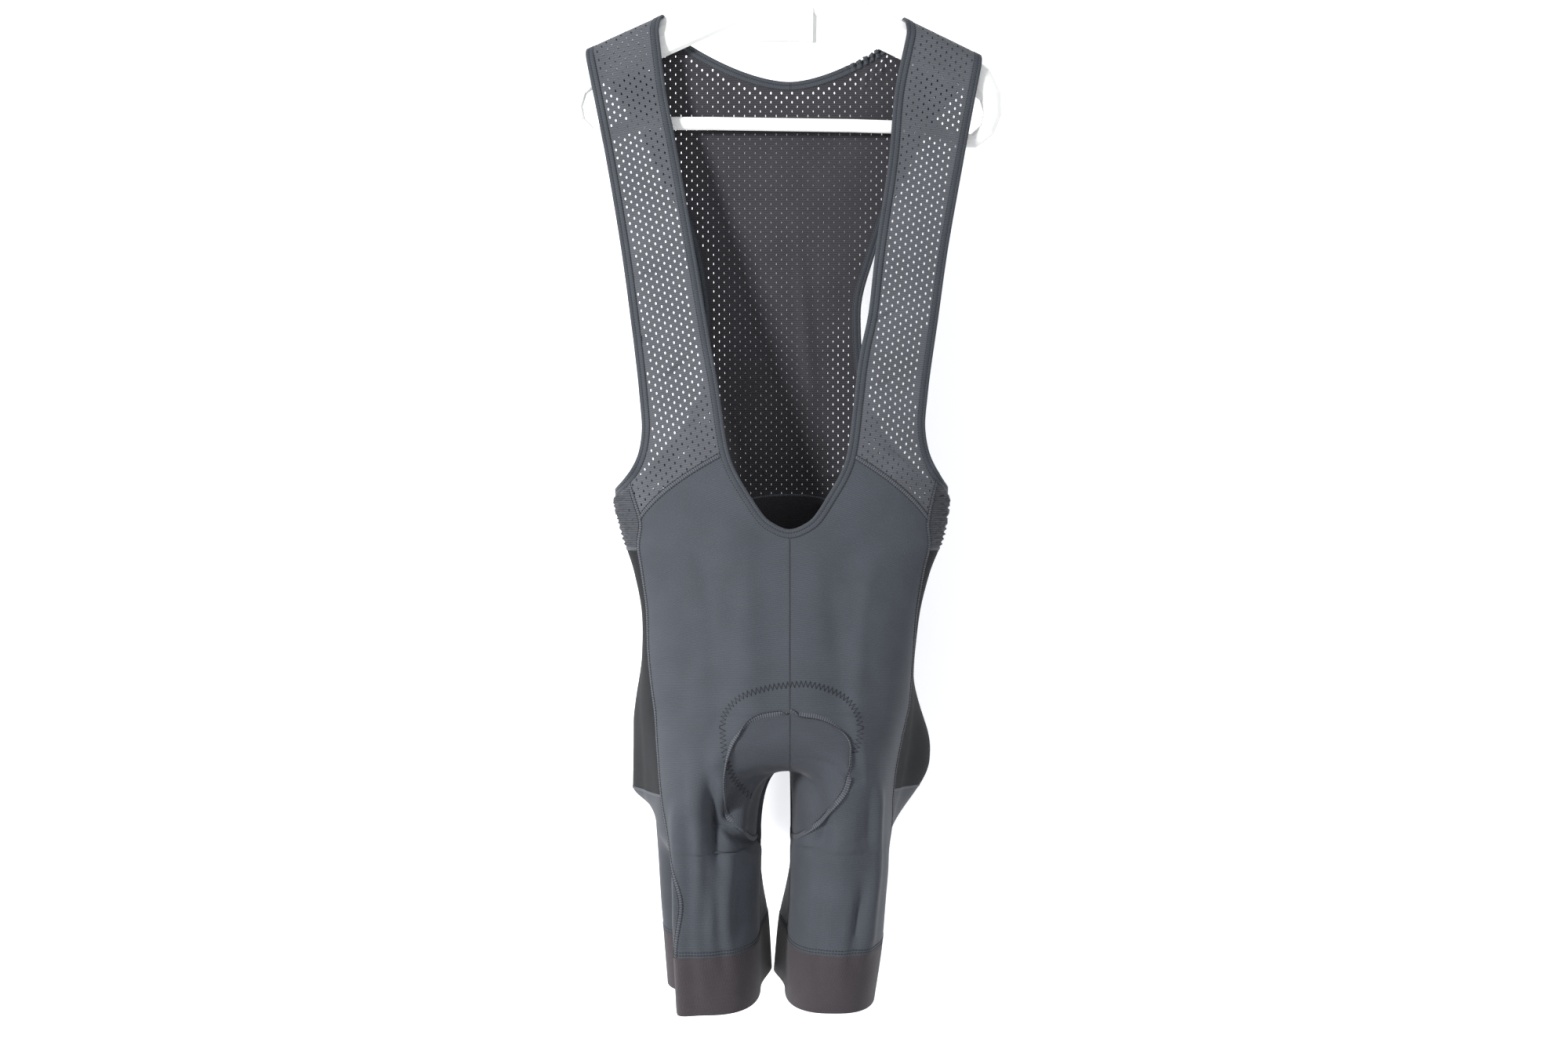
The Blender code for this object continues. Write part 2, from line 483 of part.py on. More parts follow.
class Cloth:
    """All the cloth as one net of quads, each with the name of its panel."""

    def __init__(self):
        self.net = bmesh.new()
        self.panel = self.net.faces.layers.int.new("panel")
        self.names = []

    def add(self, name, grid):
        """Add a grid of points as quads of the named panel."""
        if name not in self.names:
            self.names.append(name)
        points = [[self.net.verts.new(point) for point in line] for line in grid]
        for upper, lower in zip(points, points[1:]):
            for column in range(len(upper) - 1):
                face = self.net.faces.new((upper[column], upper[column + 1],
                                           lower[column + 1], lower[column]))
                face[self.panel] = self.names.index(name)

    def weld(self):
        """Join the grids and turn every face outwards."""
        bmesh.ops.remove_doubles(self.net, verts=self.net.verts, dist=WELD)
        bmesh.ops.dissolve_degenerate(self.net, edges=self.net.edges, dist=1e-6)
        bmesh.ops.recalc_face_normals(self.net, faces=self.net.faces)
        self.net.faces.ensure_lookup_table()
        front = min(self.net.faces, key=lambda face: face.calc_center_median().y)
        if front.normal.y > 0:
            bmesh.ops.reverse_faces(self.net, faces=self.net.faces)
        self.net.normal_update()

    def inward(self, edge, face):
        """Return the direction in the face that leads away from its edge."""
        along = (edge.verts[1].co - edge.verts[0].co).normalized()
        centre = face.calc_center_median() - edge.verts[0].co
        return (centre - along * centre.dot(along)).normalized()

    def inset(self, vert, faces, amount):
        """Return how a panel's border point moves to lie this far inside its border."""
        ways = []
        for edge in vert.link_edges:
            own = [face for face in edge.link_faces if face in faces]
            if len(own) == 1:
                ways.append(self.inward(edge, own[0]))
        if not ways:
            return Vector()
        if len(ways) == 1:
            return ways[0] * amount
        total = ways[0] + ways[1]
        return total * (amount / max(1.0 + ways[0].dot(ways[1]), 0.5))

    def panel_mesh(self, name, wall):
        """Return one panel's wall, a closed body a little inside its seams."""
        number = self.names.index(name)
        faces = {face for face in self.net.faces if face[self.panel] == number}
        verts = {vert for face in faces for vert in face.verts}
        body = bmesh.new()
        layers = ({}, {})
        for vert in sorted(verts, key=lambda item: item.index):
            place = vert.co + self.inset(vert, faces, SEAM_GAP / 2)
            for layer, way in zip(layers, (wall / 2, -wall / 2)):
                layer[vert] = body.verts.new(place + vert.normal * way)
        for face in sorted(faces, key=lambda item: item.index):
            body.faces.new([layers[0][vert] for vert in face.verts])
            body.faces.new([layers[1][vert] for vert in reversed(face.verts)])
            for loop in face.loops:
                others = [other for other in loop.edge.link_faces if other in faces]
                if len(others) == 1:
                    a, b = loop.vert, loop.link_loop_next.vert
                    body.faces.new((layers[0][b], layers[0][a], layers[1][a], layers[1][b]))
        return body

    def openings(self):
        """Return the closed loops of points along the cloth's free edges."""
        follow = {}
        for edge in self.net.edges:
            if len(edge.link_faces) == 1:
                loop = edge.link_faces[0].loops[0]
                while loop.edge != edge:
                    loop = loop.link_loop_next
                follow[loop.vert] = loop.link_loop_next.vert
        loops = []
        while follow:
            first = min(follow, key=lambda item: item.index)
            chain = [first]
            vert = follow.pop(first)
            while vert != first:
                chain.append(vert)
                vert = follow.pop(vert)
            loops.append(chain)
        return loops

    def binding_mesh(self, chain, width):
        """Return a folded strip that carries on from a free edge, as a closed body."""
        faces = set(self.net.faces)
        ways = [-self.inset(vert, faces, 1.0).normalized() for vert in chain]
        half = BINDING_WALL / 2
        outline = ((SEAM_GAP / 2, half), (width - half, half), (width, 0.0),
                   (width - half, -half), (SEAM_GAP / 2, -half))
        body = bmesh.new()
        rings = []
        count = len(chain)
        for index, vert in enumerate(chain):
            way = ways[index - 1] + ways[index] * 2.0 + ways[(index + 1) % count]
            way = (way - vert.normal * way.dot(vert.normal)).normalized()
            rings.append([body.verts.new(vert.co + way * out + vert.normal * up) for out, up in outline])
        for index in range(count):
            ring, after = rings[index], rings[(index + 1) % count]
            for corner in range(len(outline)):
                step = (corner + 1) % len(outline)
                body.faces.new((ring[corner], ring[step], after[step], after[corner]))
        bmesh.ops.recalc_face_normals(body, faces=body.faces)
        return body


def material(name, colour, roughness):
    finish = bpy.data.materials.new(name)
    finish.use_nodes = True
    shader = finish.node_tree.nodes["Principled BSDF"]
    shader.inputs["Base Color"].default_value = (*colour, 1.0)
    shader.inputs["Roughness"].default_value = roughness
    shader.inputs["Metallic"].default_value = 0.0
    return finish


def add_object(name, body, finish):
    """Turn a finished mesh into the named object."""
    mesh = bpy.data.meshes.new(name)
    body.to_mesh(mesh)
    body.free()
    mesh.materials.append(finish)
    made = bpy.data.objects.new(name, mesh)
    bpy.context.scene.collection.objects.link(made)
    mesh.shade_smooth()
    mesh.set_sharp_from_angle(angle=math.radians(50))
    return made


# The hanger's frame: middle line of arm, end and bar on the right, with height and depth there
FramePoint = namedtuple("FramePoint", "x z height depth")
ARM_HEIGHT = 0.036
ARM_DROP = ARM_APEX_Z - ARM_HEIGHT / 2 / math.cos(math.atan(ARM_SLOPE))
FRAME_LINE = (
    FramePoint(0.000, ARM_DROP, ARM_HEIGHT, 0.0125),
    FramePoint(0.060, ARM_DROP - 0.060 * ARM_SLOPE, ARM_HEIGHT, 0.0125),
    FramePoint(0.120, ARM_DROP - 0.120 * ARM_SLOPE, ARM_HEIGHT, 0.0125),
    FramePoint(0.172, ARM_DROP - 0.172 * ARM_SLOPE, ARM_HEIGHT, 0.0125),
    FramePoint(0.192, -0.1720, 0.0300, 0.0115),
    FramePoint(0.2035, -0.1880, 0.0220, 0.0105),
    FramePoint(0.2060, -0.2050, 0.0180, 0.0100),
    FramePoint(0.2010, -0.2210, 0.0160, 0.0095),
    FramePoint(0.1880, -0.2320, 0.0150, 0.0090),
    FramePoint(0.1700, -0.2320, 0.0140, 0.0080),
    FramePoint(0.1540, -0.2245, 0.0135, 0.0080),
    FramePoint(0.1380, -0.2200, 0.0130, 0.0080),
    FramePoint(0.0690, -0.2190, 0.0130, 0.0080),
    FramePoint(0.0000, -0.2190, 0.0130, 0.0080),
)
RING_SIDES = 12
WEB_SIZE = (0.064, 0.0105, 0.062)
WEB_MIDDLE = (0.0, 0.0, -0.1110)
WEB_BEVEL = 0.004
HOOK_RADIUS = HOOK_INNER_RADIUS + HOOK_WIRE_RADIUS
HOOK_FOOT_Z = -0.080
HOOK_START, HOOK_END = math.radians(-90), math.radians(205)
HOOK_ARC_STEPS = 22


def ring_points(centre, along, height, depth):
    """Return a rounded ring round a line in the XZ plane."""
    up = Vector((-along.z, 0.0, along.x))
    points = []
    for index in range(RING_SIDES):
        angle = math.tau * index / RING_SIDES
        across = math.cos(angle) * depth / 2
        rise = math.sin(angle) * height / 2
        points.append(centre + Vector((0.0, across, 0.0)) + up * rise)
    return points


def skin(body, rings, closed):
    """Join rings of new points into a tube, closed on itself or capped."""
    lines = [[body.verts.new(point) for point in ring] for ring in rings]
    pairs = list(zip(lines, lines[1:]))
    if closed:
        pairs.append((lines[-1], lines[0]))
    else:
        body.faces.new(lines[0])
        body.faces.new(lines[-1])
    for line, after in pairs:
        for index in range(len(line)):
            step = (index + 1) % len(line)
            body.faces.new((line[index], line[step], after[step], after[index]))
    bmesh.ops.recalc_face_normals(body, faces=body.faces)


def hanger_frame():
    """Return the arms, the ends and the bar as one closed loop."""
    line = list(FRAME_LINE) + [row._replace(x=-row.x) for row in FRAME_LINE[-2:0:-1]]
    count = len(line)
    rings = []
    for index, row in enumerate(line):
        before, after = line[index - 1], line[(index + 1) % count]
        along = Vector((after.x - before.x, 0.0, after.z - before.z)).normalized()
        rings.append(ring_points(Vector((row.x, 0.0, row.z)), along, row.height, row.depth))
    body = bmesh.new()
    skin(body, rings, closed=True)
    return body


def hanger_web():
    """Return the thin web under the apex that carries the hook."""
    body = bmesh.new()
    bmesh.ops.create_cube(body, size=1.0)
    bmesh.ops.scale(body, vec=WEB_SIZE, verts=body.verts)
    bmesh.ops.translate(body, vec=WEB_MIDDLE, verts=body.verts)
    bmesh.ops.bevel(body, geom=body.edges, offset=WEB_BEVEL, segments=2, affect="EDGES")
    return body


def hanger_hook():
    """Return the hook: a stem from the apex and most of a ring round the rail."""
    centre_z = -HOOK_INNER_RADIUS
    line = [Vector((0.0, 0.0, HOOK_FOOT_Z)), Vector((0.0, 0.0, (HOOK_FOOT_Z - HOOK_RADIUS * 2) / 2))]
    for step in range(HOOK_ARC_STEPS + 1):
        angle = blend(HOOK_START, HOOK_END, step / HOOK_ARC_STEPS)
        line.append(Vector((HOOK_RADIUS * math.cos(angle), 0.0, centre_z + HOOK_RADIUS * math.sin(angle))))
    rings = []
    for index, point in enumerate(line):
        before, after = line[max(index - 1, 0)], line[min(index + 1, len(line) - 1)]
        rings.append(ring_points(point, (after - before).normalized(),
                                 2 * HOOK_WIRE_RADIUS, 2 * HOOK_WIRE_RADIUS))
    body = bmesh.new()
    skin(body, rings, closed=False)
    return body


def make_hanger(finish):
    """Build the hanger in one moulding and tilt it about its hook."""
    made = add_object("hanger", hanger_frame(), finish)
    for name, body in (("web", hanger_web()), ("hook", hanger_hook())):
        tool = add_object(name, body, finish)
        union = made.modifiers.new(name, "BOOLEAN")
        union.operation = "UNION"
        union.object = tool
        tool.hide_render = True
        tool.display_type = "WIRE"
        tool.matrix_world = Matrix.Rotation(HANGER_TILT, 4, "Y")
    made.matrix_world = Matrix.Rotation(HANGER_TILT, 4, "Y")


def make_cloth():
    """Lay out the net of the whole garment and return it welded."""
    cloth = Cloth()
    for key in SIDES:
        body = Body(key)
        strap = strap_rows(key, body)
        yoke = yoke_rows(key, body, strap[0])
        rows = [body.row(index) for index in range(len(body.places))]
        fronts = [row[0] for row in rows]
        backs = [row[1] + row[2][1:] for row in rows]
        chest, waist, seat = (body.row_of(name) for name in ("chest", "waist", "seat"))
        gripper, hem = body.row_of("gripper"), body.row_of("hem")
        cloth.add("strap_" + key, strap + fronts[:chest + 1])
        cloth.add("front_" + key, fronts[chest:gripper + 1])
        cloth.add("back_mesh", yoke + [rows[0][2]])
        cloth.add("back_mesh", backs[:waist + 1])
        cloth.add("seat_" + key, backs[waist:seat + 1])
        cloth.add("leg_back_" + key, backs[seat:gripper + 1])
        cloth.add("gripper_" + key, fronts[gripper:hem + 1])
        cloth.add("gripper_" + key, backs[gripper:hem + 1])
        cloth.add("gusset_" + key, gusset_rows(body))
    cloth.weld()
    return cloth


def make_garment():
    """Cut the net into panels, give each its wall, and bind the neck and armholes."""
    colours = {
        "strap": material("perforated_knit", (0.145, 0.165, 0.190), 0.85),
        "back": material("perforated_knit_back", (0.120, 0.135, 0.155), 0.85),
        "front": material("smooth_knit", (0.150, 0.180, 0.215), 0.60),
        "gusset": material("gusset_knit", (0.150, 0.175, 0.205), 0.62),
        "seat": material("seat_knit", (0.105, 0.115, 0.135), 0.65),
        "leg": material("leg_knit", (0.150, 0.175, 0.205), 0.62),
        "gripper": material("elastic_band", (0.155, 0.145, 0.160), 0.80),
        "binding": material("binding_knit", (0.110, 0.130, 0.155), 0.65),
    }
    cloth = make_cloth()
    for name in cloth.names:
        kind = name.split("_")[0]
        wall = GRIPPER_WALL if kind == "gripper" else KNIT_WALL
        add_object(name, cloth.panel_mesh(name, wall), colours[kind])
    for chain in cloth.openings():
        middle = sum((vert.co for vert in chain), Vector()) / len(chain)
        if middle.z < SECTIONS[-3].z:
            continue
        if abs(middle.x) < abs(NECK_CORNER_X["l"]) / 2:
            add_object("neck_binding", cloth.binding_mesh(chain, NECK_BINDING_WIDTH), colours["binding"])
        else:
            name = "arm_binding_l" if middle.x < 0 else "arm_binding_r"
            add_object(name, cloth.binding_mesh(chain, ARM_BINDING_WIDTH), colours["binding"])
    cloth.net.free()


def main():
    for old in list(bpy.data.objects):
        bpy.data.objects.remove(old)
    make_garment()
    make_hanger(material("white_moulding", (0.80, 0.80, 0.80), 0.40))


main()
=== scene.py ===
"""Looks of the cycling bib shorts on their hanger.

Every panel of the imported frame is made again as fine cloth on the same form: open net where it is
perforated, thin knit elsewhere, with its seams, bindings and stitches. Metres, +Z up, front to -Y.
"""

from __future__ import annotations

from collections.abc import Callable, Sequence
from dataclasses import dataclass, field, replace
from enum import Enum
import logging
import math

import bmesh
import bpy
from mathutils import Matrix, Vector
from mathutils.bvhtree import BVHTree
from mathutils.geometry import barycentric_transform, delaunay_2d_cdt
from mathutils.kdtree import KDTree
import numpy as np


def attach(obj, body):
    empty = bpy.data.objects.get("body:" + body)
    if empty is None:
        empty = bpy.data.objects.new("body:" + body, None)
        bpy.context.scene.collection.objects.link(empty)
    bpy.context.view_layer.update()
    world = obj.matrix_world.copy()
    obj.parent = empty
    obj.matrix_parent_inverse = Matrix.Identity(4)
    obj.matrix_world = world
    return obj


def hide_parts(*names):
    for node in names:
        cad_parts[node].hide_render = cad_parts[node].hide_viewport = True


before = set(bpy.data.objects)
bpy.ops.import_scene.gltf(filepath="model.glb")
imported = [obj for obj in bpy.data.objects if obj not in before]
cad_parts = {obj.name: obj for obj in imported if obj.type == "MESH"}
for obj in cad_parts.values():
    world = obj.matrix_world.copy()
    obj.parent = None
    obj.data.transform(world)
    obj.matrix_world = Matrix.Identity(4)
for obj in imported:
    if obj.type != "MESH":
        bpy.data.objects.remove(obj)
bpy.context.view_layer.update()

LOG = logging.getLogger("bib_shorts")
ROOT = "root"
SIDES = {"l": -1, "r": 1}
FRONT, BACK = -1, 1
TINY = 1e-12

# The garment's centre line, and its hang over the hanger's arms
CENTRE_X = 0.003
HANGER_TILT = math.radians(0.9)
ARM_SLOPE = math.tan(math.radians(25.2))
ARM_APEX_Z = -0.0595
FOLD_CLEARANCE = 0.0020
FOLD_ROWS = 18
STRAP_TILT = {"l": math.radians(10.9), "r": math.radians(-7.6)}

# The upper back's top edge, and how quickly its form fades down the back
NECK_CORNER_X = {"l": -0.1225, "r": 0.1175}
NECKLINE_ROUND = 1.7
NECKLINE_FADE = 1.6
SHOULDER_SHARE = 5 / 9

# The gathers under the arms, as a wave with a sharper crest than trough
GATHERS = 11
GATHER_DEPTH = 0.0018
GATHER_SHARPNESS = 0.4
GATHER_END = 0.25

# Where folds and wrinkles fade: at the body's centre lines, and from one face to the other
CENTRE_FADE = math.radians(12)
FACE_FADE = math.radians(10)
GUSSET_TOP_Z = -0.7875
GUSSET_FADE = 0.040

# How far the gusset's rows fan out from its ends: 1 is evenly
GUSSET_FAN = 1.25

# The fineness of the nets of points: a cell's length, and the fewest rows between two of the frame's
CELL = 0.003
LEG_REACH = 0.04
FEWEST_ROWS = 3
FEWEST_GATHERED_ROWS = 5
FINE_ROWS = 150

# Cloth thicknesses, the facing's depth inside the back, and the angle of a cut edge
KNIT_THICK = 0.0009
NET_THICK = 0.0007
BAND_THICK = 0.0015
FACING_THICK = 0.0005
FACING_DEPTH = 0.0011
CREASE_ANGLE = math.radians(55)

# The net's holes, and the points between them for the cloth to bend at
HOLE_CORNERS = 6
HOLE_STRETCH = 0.3
BEND_ACROSS = 0.0050
BEND_DOWN = 0.0014
BEND_MARGIN = 0.0008
SHORTEST_EDGE = 0.0003
MERGE_REACH = 1e-7

# How open the back's net hangs: towards its sides, along the neckline and low on the right
SLACK_OPENNESS = 0.11
SIDE_OPENNESS = 0.60
SIDE_START = 0.60
SIDE_DEPTHS = (0.20, 0.35, 0.42, 0.62)
SIDE_REACHES = (0.120, 0.085, 0.075, 0.100)
TOP_OPENNESS = 0.45
TOP_DEPTH = 0.040
TOP_ROW = 0.014
TOP_FADE = 0.006
NECKLINE_Z = -0.183
NECKLINE_RISE = 3.8
RIGHT_X = 0.030
RIGHT_X_FADE = 0.025
RIGHT_Z = -0.38
RIGHT_Z_FADE = 0.06

# The part of the back's net that shows in front, under the arms: it takes a paler copy of the net's colour
# with painted light, and the rest of the back a darker copy with painted shade
UNDERARM_TOP_Z = -0.570
UNDERARM_BACK_Y = 0.030
UNDERARM_IN_X = 0.120

# Seams: their widths, their lines' smoothing, and the rows of stitches beside them
SEAM_WIDTHS = {
    "gusset": 0.0052,
    "side": 0.0030,
    "chest": 0.0036,
    "waist": 0.0036,
    "seat": 0.0030,
    "inseam": 0.0030,
    "shoulder": 0.0040,
}
EDGED_SEAMS = ("gusset", "chest", "side")
EDGING_GAP = 0.0004
EDGING_LIFT = 0.0007
CENTRE_SEAM_WIDTH = 0.0012
CHEST_SEAM_SHIFT = -0.0015
SEAM_EASING = 2
GUSSET_EASING = 8

# Bindings: their widths, their lines' smoothing, and their rows of stitches as shares of the width
NECK_BINDING_WIDTH = 0.0080
NECK_CELL = 0.0015
NECK_EASING = 10
ARM_BINDING_WIDTH = 0.0076
ARM_EASING = 3
BINDING_ROWS = (-0.04, 0.52)
BINDING_LIFT = 0.00100

# The armhole's round lower end, and the gathered right end of the back's neck
ARMHOLE_EASE_Z = -0.510
ARMHOLE_EASE_FADE = 0.030
ARMHOLE_EASING = 50
RUFFLE_PLACE = np.array((0.0870, 0.0, -0.1650))
RUFFLE_REACH = 0.015
RUFFLE_PITCH = 0.0068
RUFFLE_HEIGHT = 0.0022

# Stitches: where a thread's rings lie along it, their sizes, and the rows above the leg bands
STITCH_SHARES = (-0.5, -0.28, 0.0, 0.28, 0.5)
STITCH_SIZES = (0.35, 0.9, 1.0, 0.9, 0.35)
STITCH_ANGLES = np.radians([0, 72, 144, 216, 288])
BAND_ROWS = (0.0022, 0.0050)
BAND_LIFT = 0.0001

# The pad's zigzag: where its rays start, its step and swing, and its thread's lift and half size
PAD_START_Y = -0.2
PAD_STEP = 0.0021
PAD_EASING = 6
PAD_SWING = 0.0028
PAD_LIFT = 0.00055
PAD_HALF_WIDTH = 0.00055
PAD_HALF_HEIGHT = 0.00045
PAD_THREAD_ANGLES = np.radians(np.arange(0, 360, 60))


@dataclass(frozen=True)
class Section:
    """A horizontal section of the garment at one height."""

    z: float
    front: float
    back: float
    left_out: float
    left_mid: float
    right_mid: float
    right_out: float
    lean: float
    square: float


SECTIONS = (
    Section(-0.110, -0.0125, 0.0125, -0.290, CENTRE_X, CENTRE_X, 0.290, 0.0, 2.4),
    Section(-0.190, -0.0130, 0.0130, -0.280, CENTRE_X, CENTRE_X, 0.275, 0.0, 2.4),
    Section(-0.270, -0.0185, 0.0200, -0.255, CENTRE_X, CENTRE_X, 0.250, 0.0, 2.4),
    Section(-0.345, -0.0240, 0.0310, -0.232, CENTRE_X, CENTRE_X, 0.226, 0.0, 2.4),
    Section(-0.410, -0.0290, 0.0410, -0.210, CENTRE_X, CENTRE_X, 0.204, 0.0, 2.4),
    Section(-0.485, -0.0360, 0.0520, -0.189, CENTRE_X, CENTRE_X, 0.180, 0.0, 2.4),
    Section(-0.530, -0.0410, 0.0580, -0.178, CENTRE_X, CENTRE_X, 0.168, 0.0, 2.4),
    Section(-0.580, -0.0450, 0.0640, -0.1720, CENTRE_X, CENTRE_X, 0.1620, 0.0, 2.4),
    Section(-0.620, -0.0480, 0.0650, -0.1625, CENTRE_X, CENTRE_X, 0.1560, 0.0, 2.4),
    Section(-0.660, -0.0510, 0.0640, -0.1495, CENTRE_X, CENTRE_X, 0.1410, 0.0, 2.4),
    Section(-0.700, -0.0550, 0.0660, -0.1420, CENTRE_X, CENTRE_X, 0.1310, 0.0, 2.4),
    Section(-0.740, -0.0620, 0.0760, -0.1400, CENTRE_X, CENTRE_X, 0.1260, 0.0, 2.4),
    Section(-0.7875, -0.0720, 0.0900, -0.1360, CENTRE_X, CENTRE_X, 0.1190, 0.0, 2.4),
    Section(-0.820, -0.0760, 0.0980, -0.1325, -0.0300, 0.0250, 0.1110, 0.0, 2.4),
    Section(-0.860, -0.0750, 0.1020, -0.1295, -0.0640, 0.0460, 0.1030, 0.0, 2.4),
    Section(-0.900, -0.0710, 0.1000, -0.1280, -0.0765, 0.0520, 0.1000, 0.0, 2.4),
    Section(-0.940, -0.0690, 0.0960, -0.1270, -0.0765, 0.0525, 0.1005, 0.010, 2.4),
    Section(-0.980, -0.0680, 0.0930, -0.1250, -0.0760, 0.0505, 0.0975, 0.024, 2.5),
    Section(-1.020, -0.0670, 0.0910, -0.1220, -0.0743, 0.0475, 0.0940, 0.033, 2.6),
    Section(-1.077, -0.0600, 0.0890, -0.1185, -0.0722, 0.0425, 0.0860, 0.0365, 2.6),
)


@dataclass(frozen=True)
class StrapRow:
    """A row across a front strap, from its neck edge to its arm edge."""

    in_x: float
    in_z: float
    out_x: float
    out_z: float
    steps: int


STRAP_ROWS = {
    "l": (
        StrapRow(-0.1330, 0.0, -0.1890, 0.0, 3),
        StrapRow(-0.1260, -0.186, -0.1810, -0.192, 3),
        StrapRow(-0.1145, -0.247, -0.1695, -0.249, 4),
        StrapRow(-0.0970, -0.345, -0.1530, -0.345, 3),
        StrapRow(-0.0860, -0.410, -0.1440, -0.410, 2),
        StrapRow(-0.0800, -0.445, -0.1355, -0.480, 2),
        StrapRow(-0.0760, -0.466, -0.1320, -0.525, 1),
        StrapRow(-0.0735, -0.480, -0.1375, -0.555, 1),
    ),
    "r": (
        StrapRow(0.1260, 0.0, 0.1840, 0.0, 3),
        StrapRow(0.1130, -0.197, 0.1760, -0.200, 2),
        StrapRow(0.1085, -0.250, 0.1665, -0.250, 4),
        StrapRow(0.0940, -0.350, 0.1485, -0.350, 3),
        StrapRow(0.0870, -0.410, 0.1400, -0.410, 2),
        StrapRow(0.0795, -0.445, 0.1300, -0.480, 2),
        StrapRow(0.0760, -0.467, 0.1265, -0.520, 1),
        StrapRow(0.0745, -0.480, 0.1320, -0.552, 1),
    ),
}


@dataclass(frozen=True)
class YokeRow:
    """A row across half the upper back, from its arm edge to the middle."""

    out_x: float
    out_z: float
    mid_z: float
    steps: int


YOKE_ROWS = {
    "l": (
        YokeRow(-0.1890, 0.0, -0.1814, 3),
        YokeRow(-0.1510, -0.1975, -0.220, 3),
        YokeRow(-0.1165, -0.2655, -0.270, 3),
        YokeRow(-0.0900, -0.325, -0.320, 3),
        YokeRow(-0.0775, -0.405, -0.375, 3),
        YokeRow(-0.0770, -0.466, -0.425, 2),
        YokeRow(-0.0960, -0.512, -0.452, 2),
        YokeRow(-0.1230, -0.549, -0.475, 2),
    ),
    "r": (
        YokeRow(0.1840, 0.0, -0.1814, 3),
        YokeRow(0.1500, -0.195, -0.220, 3),
        YokeRow(0.1085, -0.268, -0.270, 3),
        YokeRow(0.0830, -0.335, -0.320, 3),
        YokeRow(0.0675, -0.400, -0.375, 3),
        YokeRow(0.0720, -0.470, -0.425, 2),
        YokeRow(0.0900, -0.518, -0.452, 2),
        YokeRow(0.1130, -0.550, -0.475, 2),
    ),
}


@dataclass(frozen=True)
class BodyRow:
    """A row round half the body, with the place of each seam that it meets."""

    name: str
    in_x: float
    in_z: float
    seam_turn: float
    seam_z: float
    side_turn: float
    side_z: float
    dip: float
    back_x: float
    back_z: float
    steps: int


